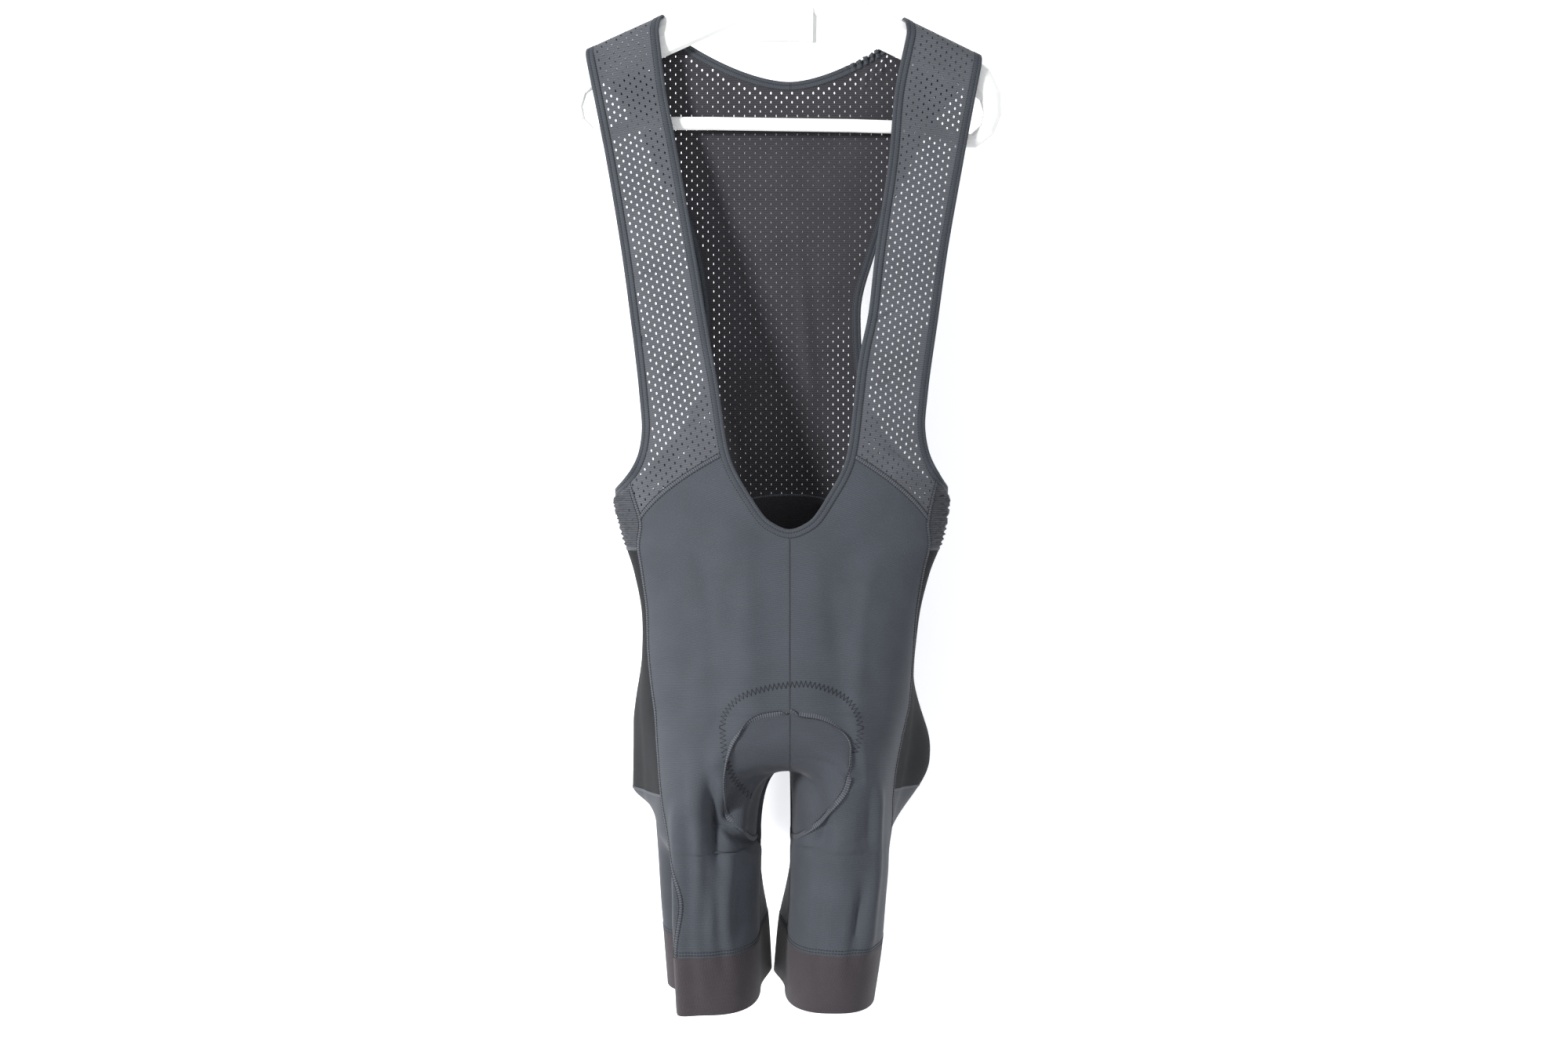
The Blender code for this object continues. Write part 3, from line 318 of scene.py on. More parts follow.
BODY_ROWS = {
    "l": (
        BodyRow("armhole", -0.0720, -0.4900, -31, -0.575, 30, -0.578, 0.010, CENTRE_X, -0.500, 9),
        BodyRow("chest", -0.0624, -0.5470, -34, -0.608, 32, -0.612, 0.002, CENTRE_X, -0.556, 7),
        BodyRow("waist", -0.0412, -0.5890, -26, -0.636, 34, -0.636, 0.0, CENTRE_X, -0.583, 1),
        BodyRow("neck_turn", -0.0200, -0.6160, -23, -0.655, 35, -0.655, 0.0, CENTRE_X, -0.608, 1),
        BodyRow("neck", CENTRE_X, -0.6251, -21, -0.676, 35, -0.674, 0.0, CENTRE_X, -0.635, 3),
        BodyRow("belly", CENTRE_X, -0.7000, -19, -0.725, 35, -0.725, 0.0, CENTRE_X, -0.705, 3),
        BodyRow("gusset", CENTRE_X, -0.7875, -23, -0.787, 36, -0.785, 0.0, CENTRE_X, -0.780, 1),
        BodyRow("gusset_1", -0.0250, -0.7920, -24, -0.798, 38, -0.797, 0.0, -0.025, -0.786, 1),
        BodyRow("gusset_2", -0.0420, -0.8040, -25, -0.812, 40, -0.811, 0.0, -0.042, -0.799, 1),
        BodyRow("gusset_3", -0.0545, -0.8240, -27, -0.830, 42, -0.829, 0.0, -0.054, -0.819, 2),
        BodyRow("seat", -0.0585, -0.8540, -36, -0.872, 44, -0.884, 0.0, -0.058, -0.852, 2),
        BodyRow("gusset_4", -0.0530, -0.8840, -46, -0.896, 45, -0.904, 0.0, -0.052, -0.882, 1),
        BodyRow("gusset_5", -0.0410, -0.9040, -52, -0.910, 45, -0.916, 0.0, -0.040, -0.904, 1),
        BodyRow("inseam", -0.0200, -0.9270, -58, -0.930, 45, -0.934, 0.0, -0.020, -0.927, 2),
        BodyRow("leg", 0.0, -0.9700, -70, -0.970, 45, -0.970, 0.0, 0.0, -0.970, 2),
        BodyRow("gripper", 0.0, -1.0170, -62, -1.020, 45, -1.010, -0.002, 0.0, -1.017, 3),
        BodyRow("hem", 0.0, -1.0720, -60, -1.077, 45, -1.064, -0.003, 0.0, -1.072, 0),
    ),
    "r": (
        BodyRow("armhole", 0.0735, -0.4900, -30, -0.573, 30, -0.577, 0.010, CENTRE_X, -0.500, 9),
        BodyRow("chest", 0.0653, -0.5490, -33, -0.609, 32, -0.612, 0.002, CENTRE_X, -0.556, 7),
        BodyRow("waist", 0.0460, -0.5890, -26, -0.636, 34, -0.636, 0.0, CENTRE_X, -0.583, 1),
        BodyRow("neck_turn", 0.0260, -0.6160, -23, -0.655, 35, -0.655, 0.0, CENTRE_X, -0.608, 1),
        BodyRow("neck", CENTRE_X, -0.6251, -20, -0.676, 35, -0.674, 0.0, CENTRE_X, -0.635, 3),
        BodyRow("belly", CENTRE_X, -0.7000, -15, -0.725, 35, -0.725, 0.0, CENTRE_X, -0.705, 3),
        BodyRow("gusset", CENTRE_X, -0.7875, -10, -0.787, 36, -0.785, 0.0, CENTRE_X, -0.780, 1),
        BodyRow("gusset_1", 0.0300, -0.7920, -11, -0.798, 38, -0.797, 0.0, 0.030, -0.786, 1),
        BodyRow("gusset_2", 0.0470, -0.8005, -12, -0.812, 40, -0.811, 0.0, 0.047, -0.796, 1),
        BodyRow("gusset_3", 0.0620, -0.8215, -13, -0.830, 42, -0.829, 0.0, 0.061, -0.817, 2),
        BodyRow("seat", 0.0580, -0.8560, -12, -0.872, 44, -0.884, 0.0, 0.057, -0.852, 2),
        BodyRow("gusset_4", 0.0410, -0.8800, -6, -0.896, 45, -0.904, 0.0, 0.040, -0.878, 1),
        BodyRow("gusset_5", 0.0230, -0.8990, -3, -0.910, 45, -0.916, 0.0, 0.023, -0.899, 1),
        BodyRow("inseam", 0.0000, -0.9250, 0, -0.930, 45, -0.934, 0.0, 0.0, -0.925, 2),
        BodyRow("leg", -0.0200, -0.9700, 0, -0.970, 45, -0.970, 0.0, -0.020, -0.970, 2),
        BodyRow("gripper", -0.0200, -1.0180, 0, -1.018, 45, -1.016, 0.0, -0.020, -1.018, 3),
        BodyRow("hem", -0.0200, -1.0730, 0, -1.075, 45, -1.072, 0.0, -0.020, -1.073, 0),
    ),
}


@dataclass(frozen=True)
class CrotchPoint:
    """A point of the gusset's centre seam, at its share of the way to the back."""

    share: float
    y: float
    z: float


CROTCH_LINE = (
    CrotchPoint(0.00, -0.0720, -0.7875),
    CrotchPoint(0.13, -0.0752, -0.8130),
    CrotchPoint(0.27, -0.0640, -0.8360),
    CrotchPoint(0.38, -0.0400, -0.8480),
    CrotchPoint(0.50, 0.0050, -0.8510),
    CrotchPoint(0.62, 0.0480, -0.8460),
    CrotchPoint(0.75, 0.0800, -0.8280),
    CrotchPoint(0.88, 0.0920, -0.8030),
    CrotchPoint(1.00, 0.0880, -0.7800),
)


@dataclass(frozen=True)
class Fold:
    """A soft trough (depth below 0) or ridge that runs down the cloth; turns are degrees."""

    side: str
    turn_top: float
    z_top: float
    grow: float
    turn_end: float
    z_end: float
    fade: float
    spread: float
    depth: float


# The largest folds, which the frame's solids have too, then finer ones that only the looks need
FOLDS = (
    Fold("l", -32, -0.905, 0.050, -24, -1.120, 0.030, 16, -0.026),
    Fold("l", -66, -0.860, 0.030, -64, -1.110, 0.030, 11, 0.006),
    Fold("l", -104, -0.850, 0.030, -112, -0.915, 0.030, 12, -0.014),
    Fold("l", 32, -0.703, 0.112, 28, -0.906, 0.026, 27, 0.034),
    Fold("r", 34, -0.728, 0.120, 32, -0.946, 0.092, 28, 0.054),
    Fold("r", -48, -0.850, 0.030, -60, -1.030, 0.030, 10, 0.005),
    Fold("r", -104, -0.868, 0.030, -118, -0.935, 0.030, 14, -0.010),
    Fold("r", 62, -0.175, 0.030, 64, -0.480, 0.030, 5, 0.005),
    Fold("r", 54, -0.165, 0.030, 55, -0.440, 0.030, 4, -0.004),
    Fold("l", -75, -0.600, 0.030, -80, -0.860, 0.030, 7, 0.003),
    Fold("r", -72, -0.620, 0.030, -70, -0.860, 0.030, 8, -0.003),
    Fold("l", -60, -0.610, 0.040, -66, -0.840, 0.060, 4, -0.0012),
    Fold("r", -60, -0.640, 0.040, -63, -0.900, 0.060, 4, 0.0012),
    Fold("l", -84, -0.990, 0.030, -88, -1.075, 0.030, 5, 0.0022),
    Fold("l", -97, -0.930, 0.030, -104, -1.050, 0.030, 6, -0.0026),
    Fold("r", -70, -0.860, 0.040, -78, -1.040, 0.040, 4, -0.0018),
    Fold("r", -92, -0.900, 0.040, -86, -1.070, 0.040, 5, 0.0020),
    Fold("r", -112, -0.930, 0.030, -104, -1.070, 0.040, 6, -0.0024),
)


@dataclass(frozen=True)
class PadPoint:
    """A point of the zigzag stitching that holds the pad, seen from the front."""

    x: float
    z: float


PAD_LINE = (
    PadPoint(-0.0335, -0.872),
    PadPoint(-0.0400, -0.867),
    PadPoint(-0.0487, -0.854),
    PadPoint(-0.0535, -0.841),
    PadPoint(-0.0582, -0.825),
    PadPoint(-0.0600, -0.805),
    PadPoint(-0.0595, -0.792),
    PadPoint(-0.0515, -0.781),
    PadPoint(-0.0400, -0.772),
    PadPoint(-0.0265, -0.768),
    PadPoint(-0.0135, -0.765),
    PadPoint(0.0035, -0.763),
    PadPoint(0.0185, -0.762),
    PadPoint(0.0325, -0.765),
    PadPoint(0.0455, -0.770),
    PadPoint(0.0565, -0.776),
    PadPoint(0.0640, -0.785),
    PadPoint(0.0690, -0.797),
    PadPoint(0.0690, -0.812),
    PadPoint(0.0640, -0.827),
)


@dataclass(frozen=True)
class Cut:
    """The size that a piece of cloth was cut to, flat: its widest, its longest and its area."""

    width: float
    length: float
    area: float


@dataclass(frozen=True)
class Wrinkle:
    """A short crease and the two low swells beside it; angle is in degrees from level."""

    face: int
    x: float
    z: float
    angle: float
    length: float
    width: float
    depth: float


WRINKLES = (
    # Left strap, then right strap: puckers where the cloth is not stretched
    Wrinkle(FRONT, -0.119, -0.288, 18, 0.016, 0.0040, -0.0026),
    Wrinkle(FRONT, -0.127, -0.310, 8, 0.014, 0.0036, -0.0020),
    Wrinkle(FRONT, -0.129, -0.369, 10, 0.015, 0.0040, -0.0022),
    Wrinkle(FRONT, -0.134, -0.432, 6, 0.014, 0.0040, -0.0022),
    Wrinkle(FRONT, -0.106, -0.463, 38, 0.016, 0.0042, -0.0026),
    Wrinkle(FRONT, -0.094, -0.520, 20, 0.014, 0.0050, -0.0012),
    Wrinkle(FRONT, 0.100, -0.410, 20, 0.012, 0.0040, -0.0026),
    Wrinkle(FRONT, 0.096, -0.476, 14, 0.012, 0.0040, -0.0020),
    Wrinkle(FRONT, 0.111, -0.545, -30, 0.016, 0.0044, -0.0022),
    Wrinkle(FRONT, 0.128, -0.300, -25, 0.016, 0.0050, -0.0012),
    # Front: faint upright swells below the neck
    Wrinkle(FRONT, -0.050, -0.690, 86, 0.055, 0.0120, -0.0009),
    Wrinkle(FRONT, 0.045, -0.700, 96, 0.050, 0.0120, -0.0009),
    Wrinkle(FRONT, -0.095, -0.760, 80, 0.050, 0.0110, -0.0010),
    Wrinkle(FRONT, 0.085, -0.780, 98, 0.050, 0.0110, -0.0010),
    # Left leg: the deep fold beside the pad, the creases under the gusset's corner, the shin side
    Wrinkle(FRONT, -0.068, -0.892, 97, 0.038, 0.0080, -0.0135),
    Wrinkle(FRONT, -0.084, -0.905, 95, 0.050, 0.0080, 0.0050),
    Wrinkle(FRONT, -0.040, -0.903, -35, 0.022, 0.0050, 0.0038),
    Wrinkle(FRONT, -0.036, -0.915, -38, 0.026, 0.0065, -0.0062),
    Wrinkle(FRONT, 0.034, -0.861, 14, 0.026, 0.0050, -0.0050),
    Wrinkle(FRONT, 0.014, -0.885, 70, 0.030, 0.0110, -0.0075),
    Wrinkle(FRONT, -0.043, -0.970, 86, 0.036, 0.0100, -0.0055),
    Wrinkle(FRONT, -0.084, -0.955, 88, 0.050, 0.0060, 0.0022),
    Wrinkle(FRONT, -0.070, -0.985, 88, 0.030, 0.0050, 0.0014),
    # Right leg: the long crease down its outer side, and a short one above the band
    Wrinkle(FRONT, 0.078, -0.897, 90, 0.034, 0.0065, -0.0034),
    Wrinkle(FRONT, 0.070, -0.972, 78, 0.036, 0.0060, -0.0036),
    Wrinkle(FRONT, 0.050, -0.990, 84, 0.028, 0.0070, -0.0018),
    # Neckline's right end, where the binding is gathered
    Wrinkle(BACK, 0.078, -0.172, 80, 0.014, 0.0030, -0.0020),
    Wrinkle(BACK, 0.086, -0.168, 78, 0.014, 0.0030, -0.0022),
    Wrinkle(BACK, 0.094, -0.163, 76, 0.014, 0.0030, -0.0020),
    Wrinkle(BACK, 0.052, -0.560, 12, 0.016, 0.0050, -0.0014),
    Wrinkle(BACK, 0.046, -0.590, 8, 0.016, 0.0050, -0.0014),
    Wrinkle(BACK, -0.040, -0.480, 70, 0.050, 0.0090, -0.0014),
    Wrinkle(BACK, 0.020, -0.420, 95, 0.080, 0.0090, -0.0014),
)


class Curve:
    """A smooth function through given values that never overshoots them."""

    def __init__(self, places: Sequence[float], values: Sequence[float]) -> None:
        """Keep the values and work out a tangent at each."""
        self.places = np.asarray(places, float)
        self.values = np.asarray(values, float)
        self.gaps = np.diff(self.places)
        slopes = np.diff(self.values) / self.gaps
        before, after = slopes[:-1], slopes[1:]
        total = np.where(before * after > 0.0, before + after, 1.0)
        inner = np.where(before * after > 0.0, 2.0 * before * after / total, 0.0)
        self.tangents = np.concatenate((slopes[:1], inner, slopes[-1:]))

    def __call__(self, place: np.ndarray | float) -> np.ndarray:
        """Return the value at each place."""
        place = np.clip(place, self.places[0], self.places[-1])
        index = np.clip(np.searchsorted(self.places, place) - 1, 0, len(self.gaps) - 1)
        gap = self.gaps[index]
        t = (place - self.places[index]) / gap
        low, high = self.values[index], self.values[index + 1]
        curve = (3.0 - 2.0 * t) * t * t * (high - low)
        start = t * (1.0 - t) ** 2 * gap * self.tangents[index]
        end = t * t * (t - 1.0) * gap * self.tangents[index + 1]
        return low + curve + start + end


def blend(a: np.ndarray | float, b: np.ndarray | float, share: np.ndarray | float) -> np.ndarray:
    """Return what lies this share of the way from a to b."""
    return a + (b - a) * share


def smooth_step(share: np.ndarray | float) -> np.ndarray:
    """Return a share eased in and out, and kept within 0 and 1."""
    share = np.clip(share, 0.0, 1.0)
    return share * share * (3.0 - 2.0 * share)


def signed_power(value: np.ndarray, power: np.ndarray | float) -> np.ndarray:
    """Return the power of a value's size, with the value's sign."""
    return np.sign(value) * np.abs(value) ** power


def unit(vectors: np.ndarray) -> np.ndarray:
    """Return vectors at length 1."""
    length = np.linalg.norm(vectors, axis=-1, keepdims=True)
    return vectors / np.maximum(length, TINY)


def columns_of(rows: Sequence[object], places: Sequence[float],
               names: Sequence[str]) -> dict[str, Curve]:
    """Return each named field of the rows as a curve over place."""
    return {name: Curve(places, [getattr(row, name) for row in rows]) for name in names}


class Form:
    """The smooth form that all the cloth lies on."""

    names = ("front", "back", "left_out", "left_mid", "right_mid", "right_out", "lean", "square")
    rising = SECTIONS[::-1]
    shape = columns_of(rising, [row.z for row in rising], names)

    @classmethod
    def section(cls, side: int, z: np.ndarray) -> tuple[np.ndarray, ...]:
        """Return a section's middle, half width, centre depth, half depth, lean and squareness."""
        name = "left" if side < 0 else "right"
        middle = cls.shape[name + "_mid"](z)
        half_width = np.abs(cls.shape[name + "_out"](z) - middle)
        front, back = cls.shape["front"](z), cls.shape["back"](z)
        return (middle, half_width, (front + back) / 2, (back - front) / 2,
                cls.shape["lean"](z), cls.shape["square"](z))

    @classmethod
    def turn_at(cls, side: int, x: np.ndarray, z: np.ndarray, face: int) -> np.ndarray:
        """Return the turn round the section at this x; face is -1 for the front, 1 for the back."""
        middle, half_width, _, _, _, square = cls.section(side, z)
        share = np.clip(side * (x - middle) / half_width, -1.0, 1.0)
        return face * np.arccos(signed_power(share, square / 2))

    @staticmethod
    def fold_height(side: int, turn: np.ndarray, z: np.ndarray) -> np.ndarray:
        """Return how far the folds push the cloth out."""
        height = np.zeros(np.broadcast(turn, z).shape)
        for fold in FOLDS:
            if SIDES[fold.side] != side:
                continue
            share = np.clip((fold.z_top - z) / (fold.z_top - fold.z_end), 0.0, 1.0)
            centre = np.radians(blend(fold.turn_top, fold.turn_end, share))
            across = (turn - centre) / math.radians(fold.spread)
            ends = smooth_step((fold.z_top - z) / fold.grow) * smooth_step((z - fold.z_end) / fold.fade)
            height = height + fold.depth * ends * np.exp(-across * across)
        at_centre = 1.0 - smooth_step(np.abs(np.abs(turn) - math.pi / 2) / CENTRE_FADE)
        return height * (1.0 - at_centre * smooth_step((z - GUSSET_TOP_Z) / GUSSET_FADE + 1.0))

    @staticmethod
    def wrinkle_height(turn: np.ndarray, x: np.ndarray, z: np.ndarray) -> np.ndarray:
        """Return how far the wrinkles push the cloth out."""
        height = np.zeros(np.broadcast(x, z).shape)
        for wrinkle in WRINKLES:
            angle = math.radians(wrinkle.angle)
            right, up = x - wrinkle.x, z - wrinkle.z
            along = (right * math.cos(angle) + up * math.sin(angle)) / wrinkle.length
            across = (up * math.cos(angle) - right * math.sin(angle)) / wrinkle.width
            shown = smooth_step(0.5 + wrinkle.face * turn / FACE_FADE)
            swell = (1.0 - across * across) * np.exp(-across * across - along * along)
            height = height + wrinkle.depth * shown * swell
        return height

    @classmethod
    def cloth(cls, side: int, turn: np.ndarray, z: np.ndarray,
              raised: np.ndarray | float = 0.0) -> np.ndarray:
        """Return the cloth's points at turns round the section at heights z."""
        turn, z = np.broadcast_arrays(turn, z)
        middle, half_width, centre_y, half_depth, lean, square = cls.section(side, z)
        cosine, sine = np.cos(turn), np.sin(turn)
        across = signed_power(cosine, 2 / square)
        along = signed_power(sine, 2 / square)
        out_x = signed_power(cosine, 2 - 2 / square) / half_width
        out_y = signed_power(sine, 2 - 2 / square) / half_depth
        size = np.hypot(out_x, out_y)
        leaned = half_width * across - lean * np.maximum(along, 0.0) ** 2
        height = cls.fold_height(side, turn, z) + raised
        height = height + cls.wrinkle_height(turn, middle + side * leaned, z)
        x = middle + side * (leaned + out_x / size * height)
        y = centre_y + half_depth * along + out_y / size * height
        return np.stack((x, y, z), axis=-1)


def fold_line(x: np.ndarray | float) -> np.ndarray:
    """Return the height at which the cloth folds over the hanger's arm."""
    tilt = np.where(np.asarray(x) > 0, HANGER_TILT, -HANGER_TILT)
    slope = np.tan(math.atan(ARM_SLOPE) + tilt)
    apex_x = ARM_APEX_Z * math.sin(HANGER_TILT)
    return ARM_APEX_Z * math.cos(HANGER_TILT) + FOLD_CLEARANCE - slope * np.abs(x - apex_x)


def even(curve: Callable[[np.ndarray], np.ndarray], rows: int, columns: int) -> np.ndarray:
    """Return columns + 1 points at equal lengths along each row's curve.

    Args:
        curve: gives the points of all rows for an array of shares, one row of shares a row.
        rows: how many rows the curve gives.
        columns: how many equal lengths each row is cut into.

    Returns:
        An array of rows x (columns + 1) x 3.
    """
    samples = np.linspace(0.0, 1.0, 4 * columns + 1)
    points = curve(np.tile(samples, (rows, 1)))
    steps = np.linalg.norm(np.diff(points, axis=1), axis=-1)
    lengths = np.concatenate((np.zeros((rows, 1)), np.cumsum(steps, axis=1)), axis=1)
    wanted = np.linspace(0.0, 1.0, columns + 1)
    shares = np.array([np.interp(wanted * line[-1], line, samples) for line in lengths])
    return curve(shares)


@dataclass
class Net:
    """A grid of points on a panel: rows run down it and columns across it."""

    points: np.ndarray
    facing: int

    def normals(self) -> np.ndarray:
        """Return the outward normal at each point."""
        down = np.gradient(self.points, axis=0)
        across = np.gradient(self.points, axis=1)
        return unit(np.cross(down, across)) * self.facing

    def lengths_down(self, column: int) -> np.ndarray:
        """Return the length down a column to each row."""
        steps = np.linalg.norm(np.diff(self.points[:, column], axis=0), axis=-1)
        return np.concatenate(([0.0], np.cumsum(steps)))

    def lengths_across(self, column: int) -> np.ndarray:
        """Return each point's length across its row, counted from a column."""
        steps = np.linalg.norm(np.diff(self.points, axis=1), axis=-1)
        total = np.concatenate((np.zeros((len(steps), 1)), np.cumsum(steps, axis=1)), axis=1)
        return total - total[:, column:column + 1]

    def down(self, column: int, towards: int) -> Path:
        """Return the line down a column, whose inward side is towards another column."""
        line = self.points[:, column]
        return Path(line, self.normals()[:, column], self.points[:, towards] - line)

    def along(self, row: int, towards: int) -> Path:
        """Return the line along a row, whose inward side is towards another row."""
        line = self.points[row]
        return Path(line, self.normals()[row], self.points[towards] - line)

    def stacked(self, other: Net) -> Net:
        """Return this net with another below it that starts at its last row."""
        return Net(np.concatenate((self.points, other.points[1:])), self.facing)

    def raised(self, height: float) -> Net:
        """Return the net moved out along its normals."""
        return Net(self.points + self.normals() * height, self.facing)


class Half:
    """One side of the garment: the nets of its panels and the lines of its seams."""

    front_columns = 44
    under_columns = 26
    back_columns = 63
    gusset_columns = 22

    def __init__(self, key: str) -> None:
        """Read the side's tables.

        Args:
            key: "l" or "r", as seen from the front.
        """
        self.key = key
        self.side = SIDES[key]
        self.rows = BODY_ROWS[key]
        names = [name for name in BodyRow.__dataclass_fields__ if name not in ("name", "steps")]
        self.at = columns_of(self.rows, range(len(self.rows)), names)
        self.step_ends = np.cumsum([0] + [row.steps for row in self.rows[:-1]])
        self.neck_place = [row.name for row in self.rows].index("neck")
        neck = list(self.rows[:self.neck_place + 1])
        neck.append(replace(neck[-2], in_x=2 * CENTRE_X - neck[-2].in_x))
        self.neck_at = columns_of(neck, range(len(neck)), ("in_x", "in_z"))

    def step_of(self, name: str) -> int:
        """Return the row of the frame's grid at which the seam of this name lies."""
        return int(self.step_ends[[row.name for row in self.rows].index(name)])

    def fine_steps(self, first: str, last: str) -> np.ndarray:
        """Return the steps of fine rows between two seams, about a cell apart."""
        start, stop = self.step_of(first), self.step_of(last)
        fewest = FEWEST_GATHERED_ROWS if stop <= self.step_of("waist") else FEWEST_ROWS
        edges = self.place(np.arange(start, stop + 1))
        in_x, in_z, seam_z = (self.at[name](edges) for name in ("in_x", "in_z", "seam_z"))
        swing = LEG_REACH * np.diff(Form.turn_at(self.side, in_x, in_z, FRONT))
        falls = np.max(np.abs((np.diff(in_z), np.diff(seam_z), swing)), axis=0)
        steps = []
        for step, fall in zip(range(start, stop), falls):
            count = max(math.ceil(fall / CELL), fewest)
            steps += [step + part / count for part in range(count)]
        return np.array(steps + [stop], float)

    def place(self, step: np.ndarray | float) -> np.ndarray:
        """Return a step's place in the table of rows."""
        return np.interp(step, self.step_ends, range(len(self.rows)))

    def gather(self, steps: np.ndarray, share: np.ndarray) -> np.ndarray:
        """Return the height of the gathers under the arm."""
        fade = smooth_step(np.minimum(share, 1.0 - share) / GATHER_END)
        last = self.step_of("waist")
        ends = smooth_step(steps) * smooth_step(last - steps)
        wave = np.cos(2 * math.pi * GATHERS * steps / last)
        crest = wave + GATHER_SHARPNESS * wave * wave - GATHER_SHARPNESS
        return GATHER_DEPTH * fade * (ends * crest)[:, None]

    def body(self, steps: np.ndarray) -> tuple[Net, Net, Net]:
        """Return the front, underarm and back nets of the rows at these steps."""
        side = self.side
        place = self.place(steps)
        at = {name: curve(place)[:, None] for name, curve in self.at.items()}
        for name, curve in self.neck_at.items():
            at[name] = np.where(place <= self.neck_place, curve(place), self.at[name](place))[:, None]
        front_turn = Form.turn_at(side, at["in_x"], at["in_z"], FRONT)
        seam_turn, side_turn = np.radians(at["seam_turn"]), np.radians(at["side_turn"])
        back_turn = Form.turn_at(side, at["back_x"], at["back_z"], BACK)

        def front(share: np.ndarray) -> np.ndarray:
            """Return the front part at these shares."""
            return Form.cloth(side, blend(front_turn, seam_turn, share),
                              blend(at["in_z"], at["seam_z"], share))

        def under(share: np.ndarray) -> np.ndarray:
            """Return the underarm part at these shares."""
            z = blend(at["seam_z"], at["side_z"], share) - 4.0 * at["dip"] * share * (1.0 - share)
            return Form.cloth(side, blend(seam_turn, side_turn, share), z, self.gather(steps, share))

        def back(share: np.ndarray) -> np.ndarray:
            """Return the back part at these shares."""
            z = blend(at["side_z"], at["back_z"], smooth_step(share))
            return Form.cloth(side, blend(side_turn, back_turn, share), z)

        parts = ((front, self.front_columns), (under, self.under_columns), (back, self.back_columns))
        return tuple(Net(even(curve, len(steps), columns), side) for curve, columns in parts)

    def part(self, first: str, last: str, back: bool) -> Net:
        """Return the front net, or the underarm and back net, between two seams."""
        front, under, rear = self.body(self.fine_steps(first, last))
        if not back:
            return front
        return Net(np.concatenate((under.points, rear.points[:, 1:]), axis=1), self.side)

    def strap(self) -> Net:
        """Return the strap from its shoulder seam over the arm and down to the armhole's row."""
        side, columns = self.side, self.front_columns
        rows = list(STRAP_ROWS[self.key])
        shoulder = []
        for x in (rows[0].in_x, rows[0].out_x):
            top = float(fold_line(x))
            shoulder.append(top + float(Form.cloth(side, Form.turn_at(side, x, top, FRONT), top)[1]))
        rows[0] = replace(rows[0], in_z=shoulder[0], out_z=shoulder[1])
        armhole = self.rows[0]
        end = Form.cloth(side, math.radians(armhole.seam_turn), armhole.seam_z)
        rows.append(StrapRow(armhole.in_x, armhole.in_z, end[0], end[2], 1))
        names = ("in_x", "in_z", "out_x", "out_z")
        at = columns_of(rows, range(len(rows)), names)

        bends = np.linspace(math.pi, 0.0, FOLD_ROWS + 1)[:-1, None]
        share = np.linspace(0.0, 1.0, columns + 1)[None, :]
        front_x = blend(rows[0].in_x, rows[0].out_x, share)
        back_x = blend(NECK_CORNER_X[self.key], rows[0].out_x, share)
        x = blend(front_x, back_x, bends / math.pi)
        z = blend(rows[0].in_z, rows[0].out_z, share) + 0.0 * bends
        y = Form.cloth(side, Form.turn_at(side, front_x, z, FRONT), z)[..., 1]
        lift = fold_line(x) - fold_line(front_x)
        over = np.stack((x, y * np.cos(bends), z + (lift - y) * np.sin(bends)), axis=-1)

        places = np.linspace(0.0, len(rows) - 1, FINE_ROWS)
        in_x, in_z, out_x, out_z = (at[name](places)[:, None] for name in names)
        in_turn = Form.turn_at(side, in_x, in_z, FRONT)
        out_turn = Form.turn_at(side, out_x, out_z, FRONT)

        def across(shares: np.ndarray) -> np.ndarray:
            """Return the strap's rows at these shares."""
            return Form.cloth(side, blend(in_turn, out_turn, shares), blend(in_z, out_z, shares))

        down = even(across, len(places), columns)
        return Net(np.concatenate((over, down)), side)

    def yoke(self, shoulder: np.ndarray) -> Net:
        """Return half the upper back.

        Args:
            shoulder: the strap's row at its shoulder seam, from the neck to the arm.

        Returns:
            The net from the shoulder and neckline down to the armhole's row.
        """
        side, columns = self.side, self.back_columns
        rows = list(YOKE_ROWS[self.key])
        corner, outer = shoulder[0], shoulder[-1]
        rows[0] = replace(rows[0], out_x=outer[0], out_z=outer[2])
        armhole = self.rows[0]
        end = Form.cloth(side, math.radians(armhole.side_turn), armhole.side_z)
        rows.append(YokeRow(end[0], end[2], armhole.back_z, 1))
        last = len(rows) - 1
        names = ("out_x", "out_z", "mid_z")
        at = columns_of(rows, range(len(rows)), names)
        seam_columns = round(columns * SHOULDER_SHARE)
        seam_share = np.linspace(1.0, 0.0, seam_columns + 1) * (len(shoulder) - 1)
        seam = np.stack([np.interp(seam_share, range(len(shoulder)), values) for values in shoulder.T], -1)
        share = np.linspace(0.0, 1.0, columns - seam_columns + 1)[1:]
        x = blend(corner[0], CENTRE_X, share)
        z = rows[0].mid_z + (corner[2] - rows[0].mid_z) * (1.0 - share) ** NECKLINE_ROUND
        neckline = Form.cloth(side, Form.turn_at(side, x, z, BACK), z)
        top = np.concatenate((seam, neckline))
        top_places = (top[:, 0] - top[0, 0]) / (top[-1, 0] - top[0, 0])
        end_row = self.body(np.array([0.0]))[2].points[0]
        end_places = (end_row[:, 0] - end_row[0, 0]) / (end_row[-1, 0] - end_row[0, 0])

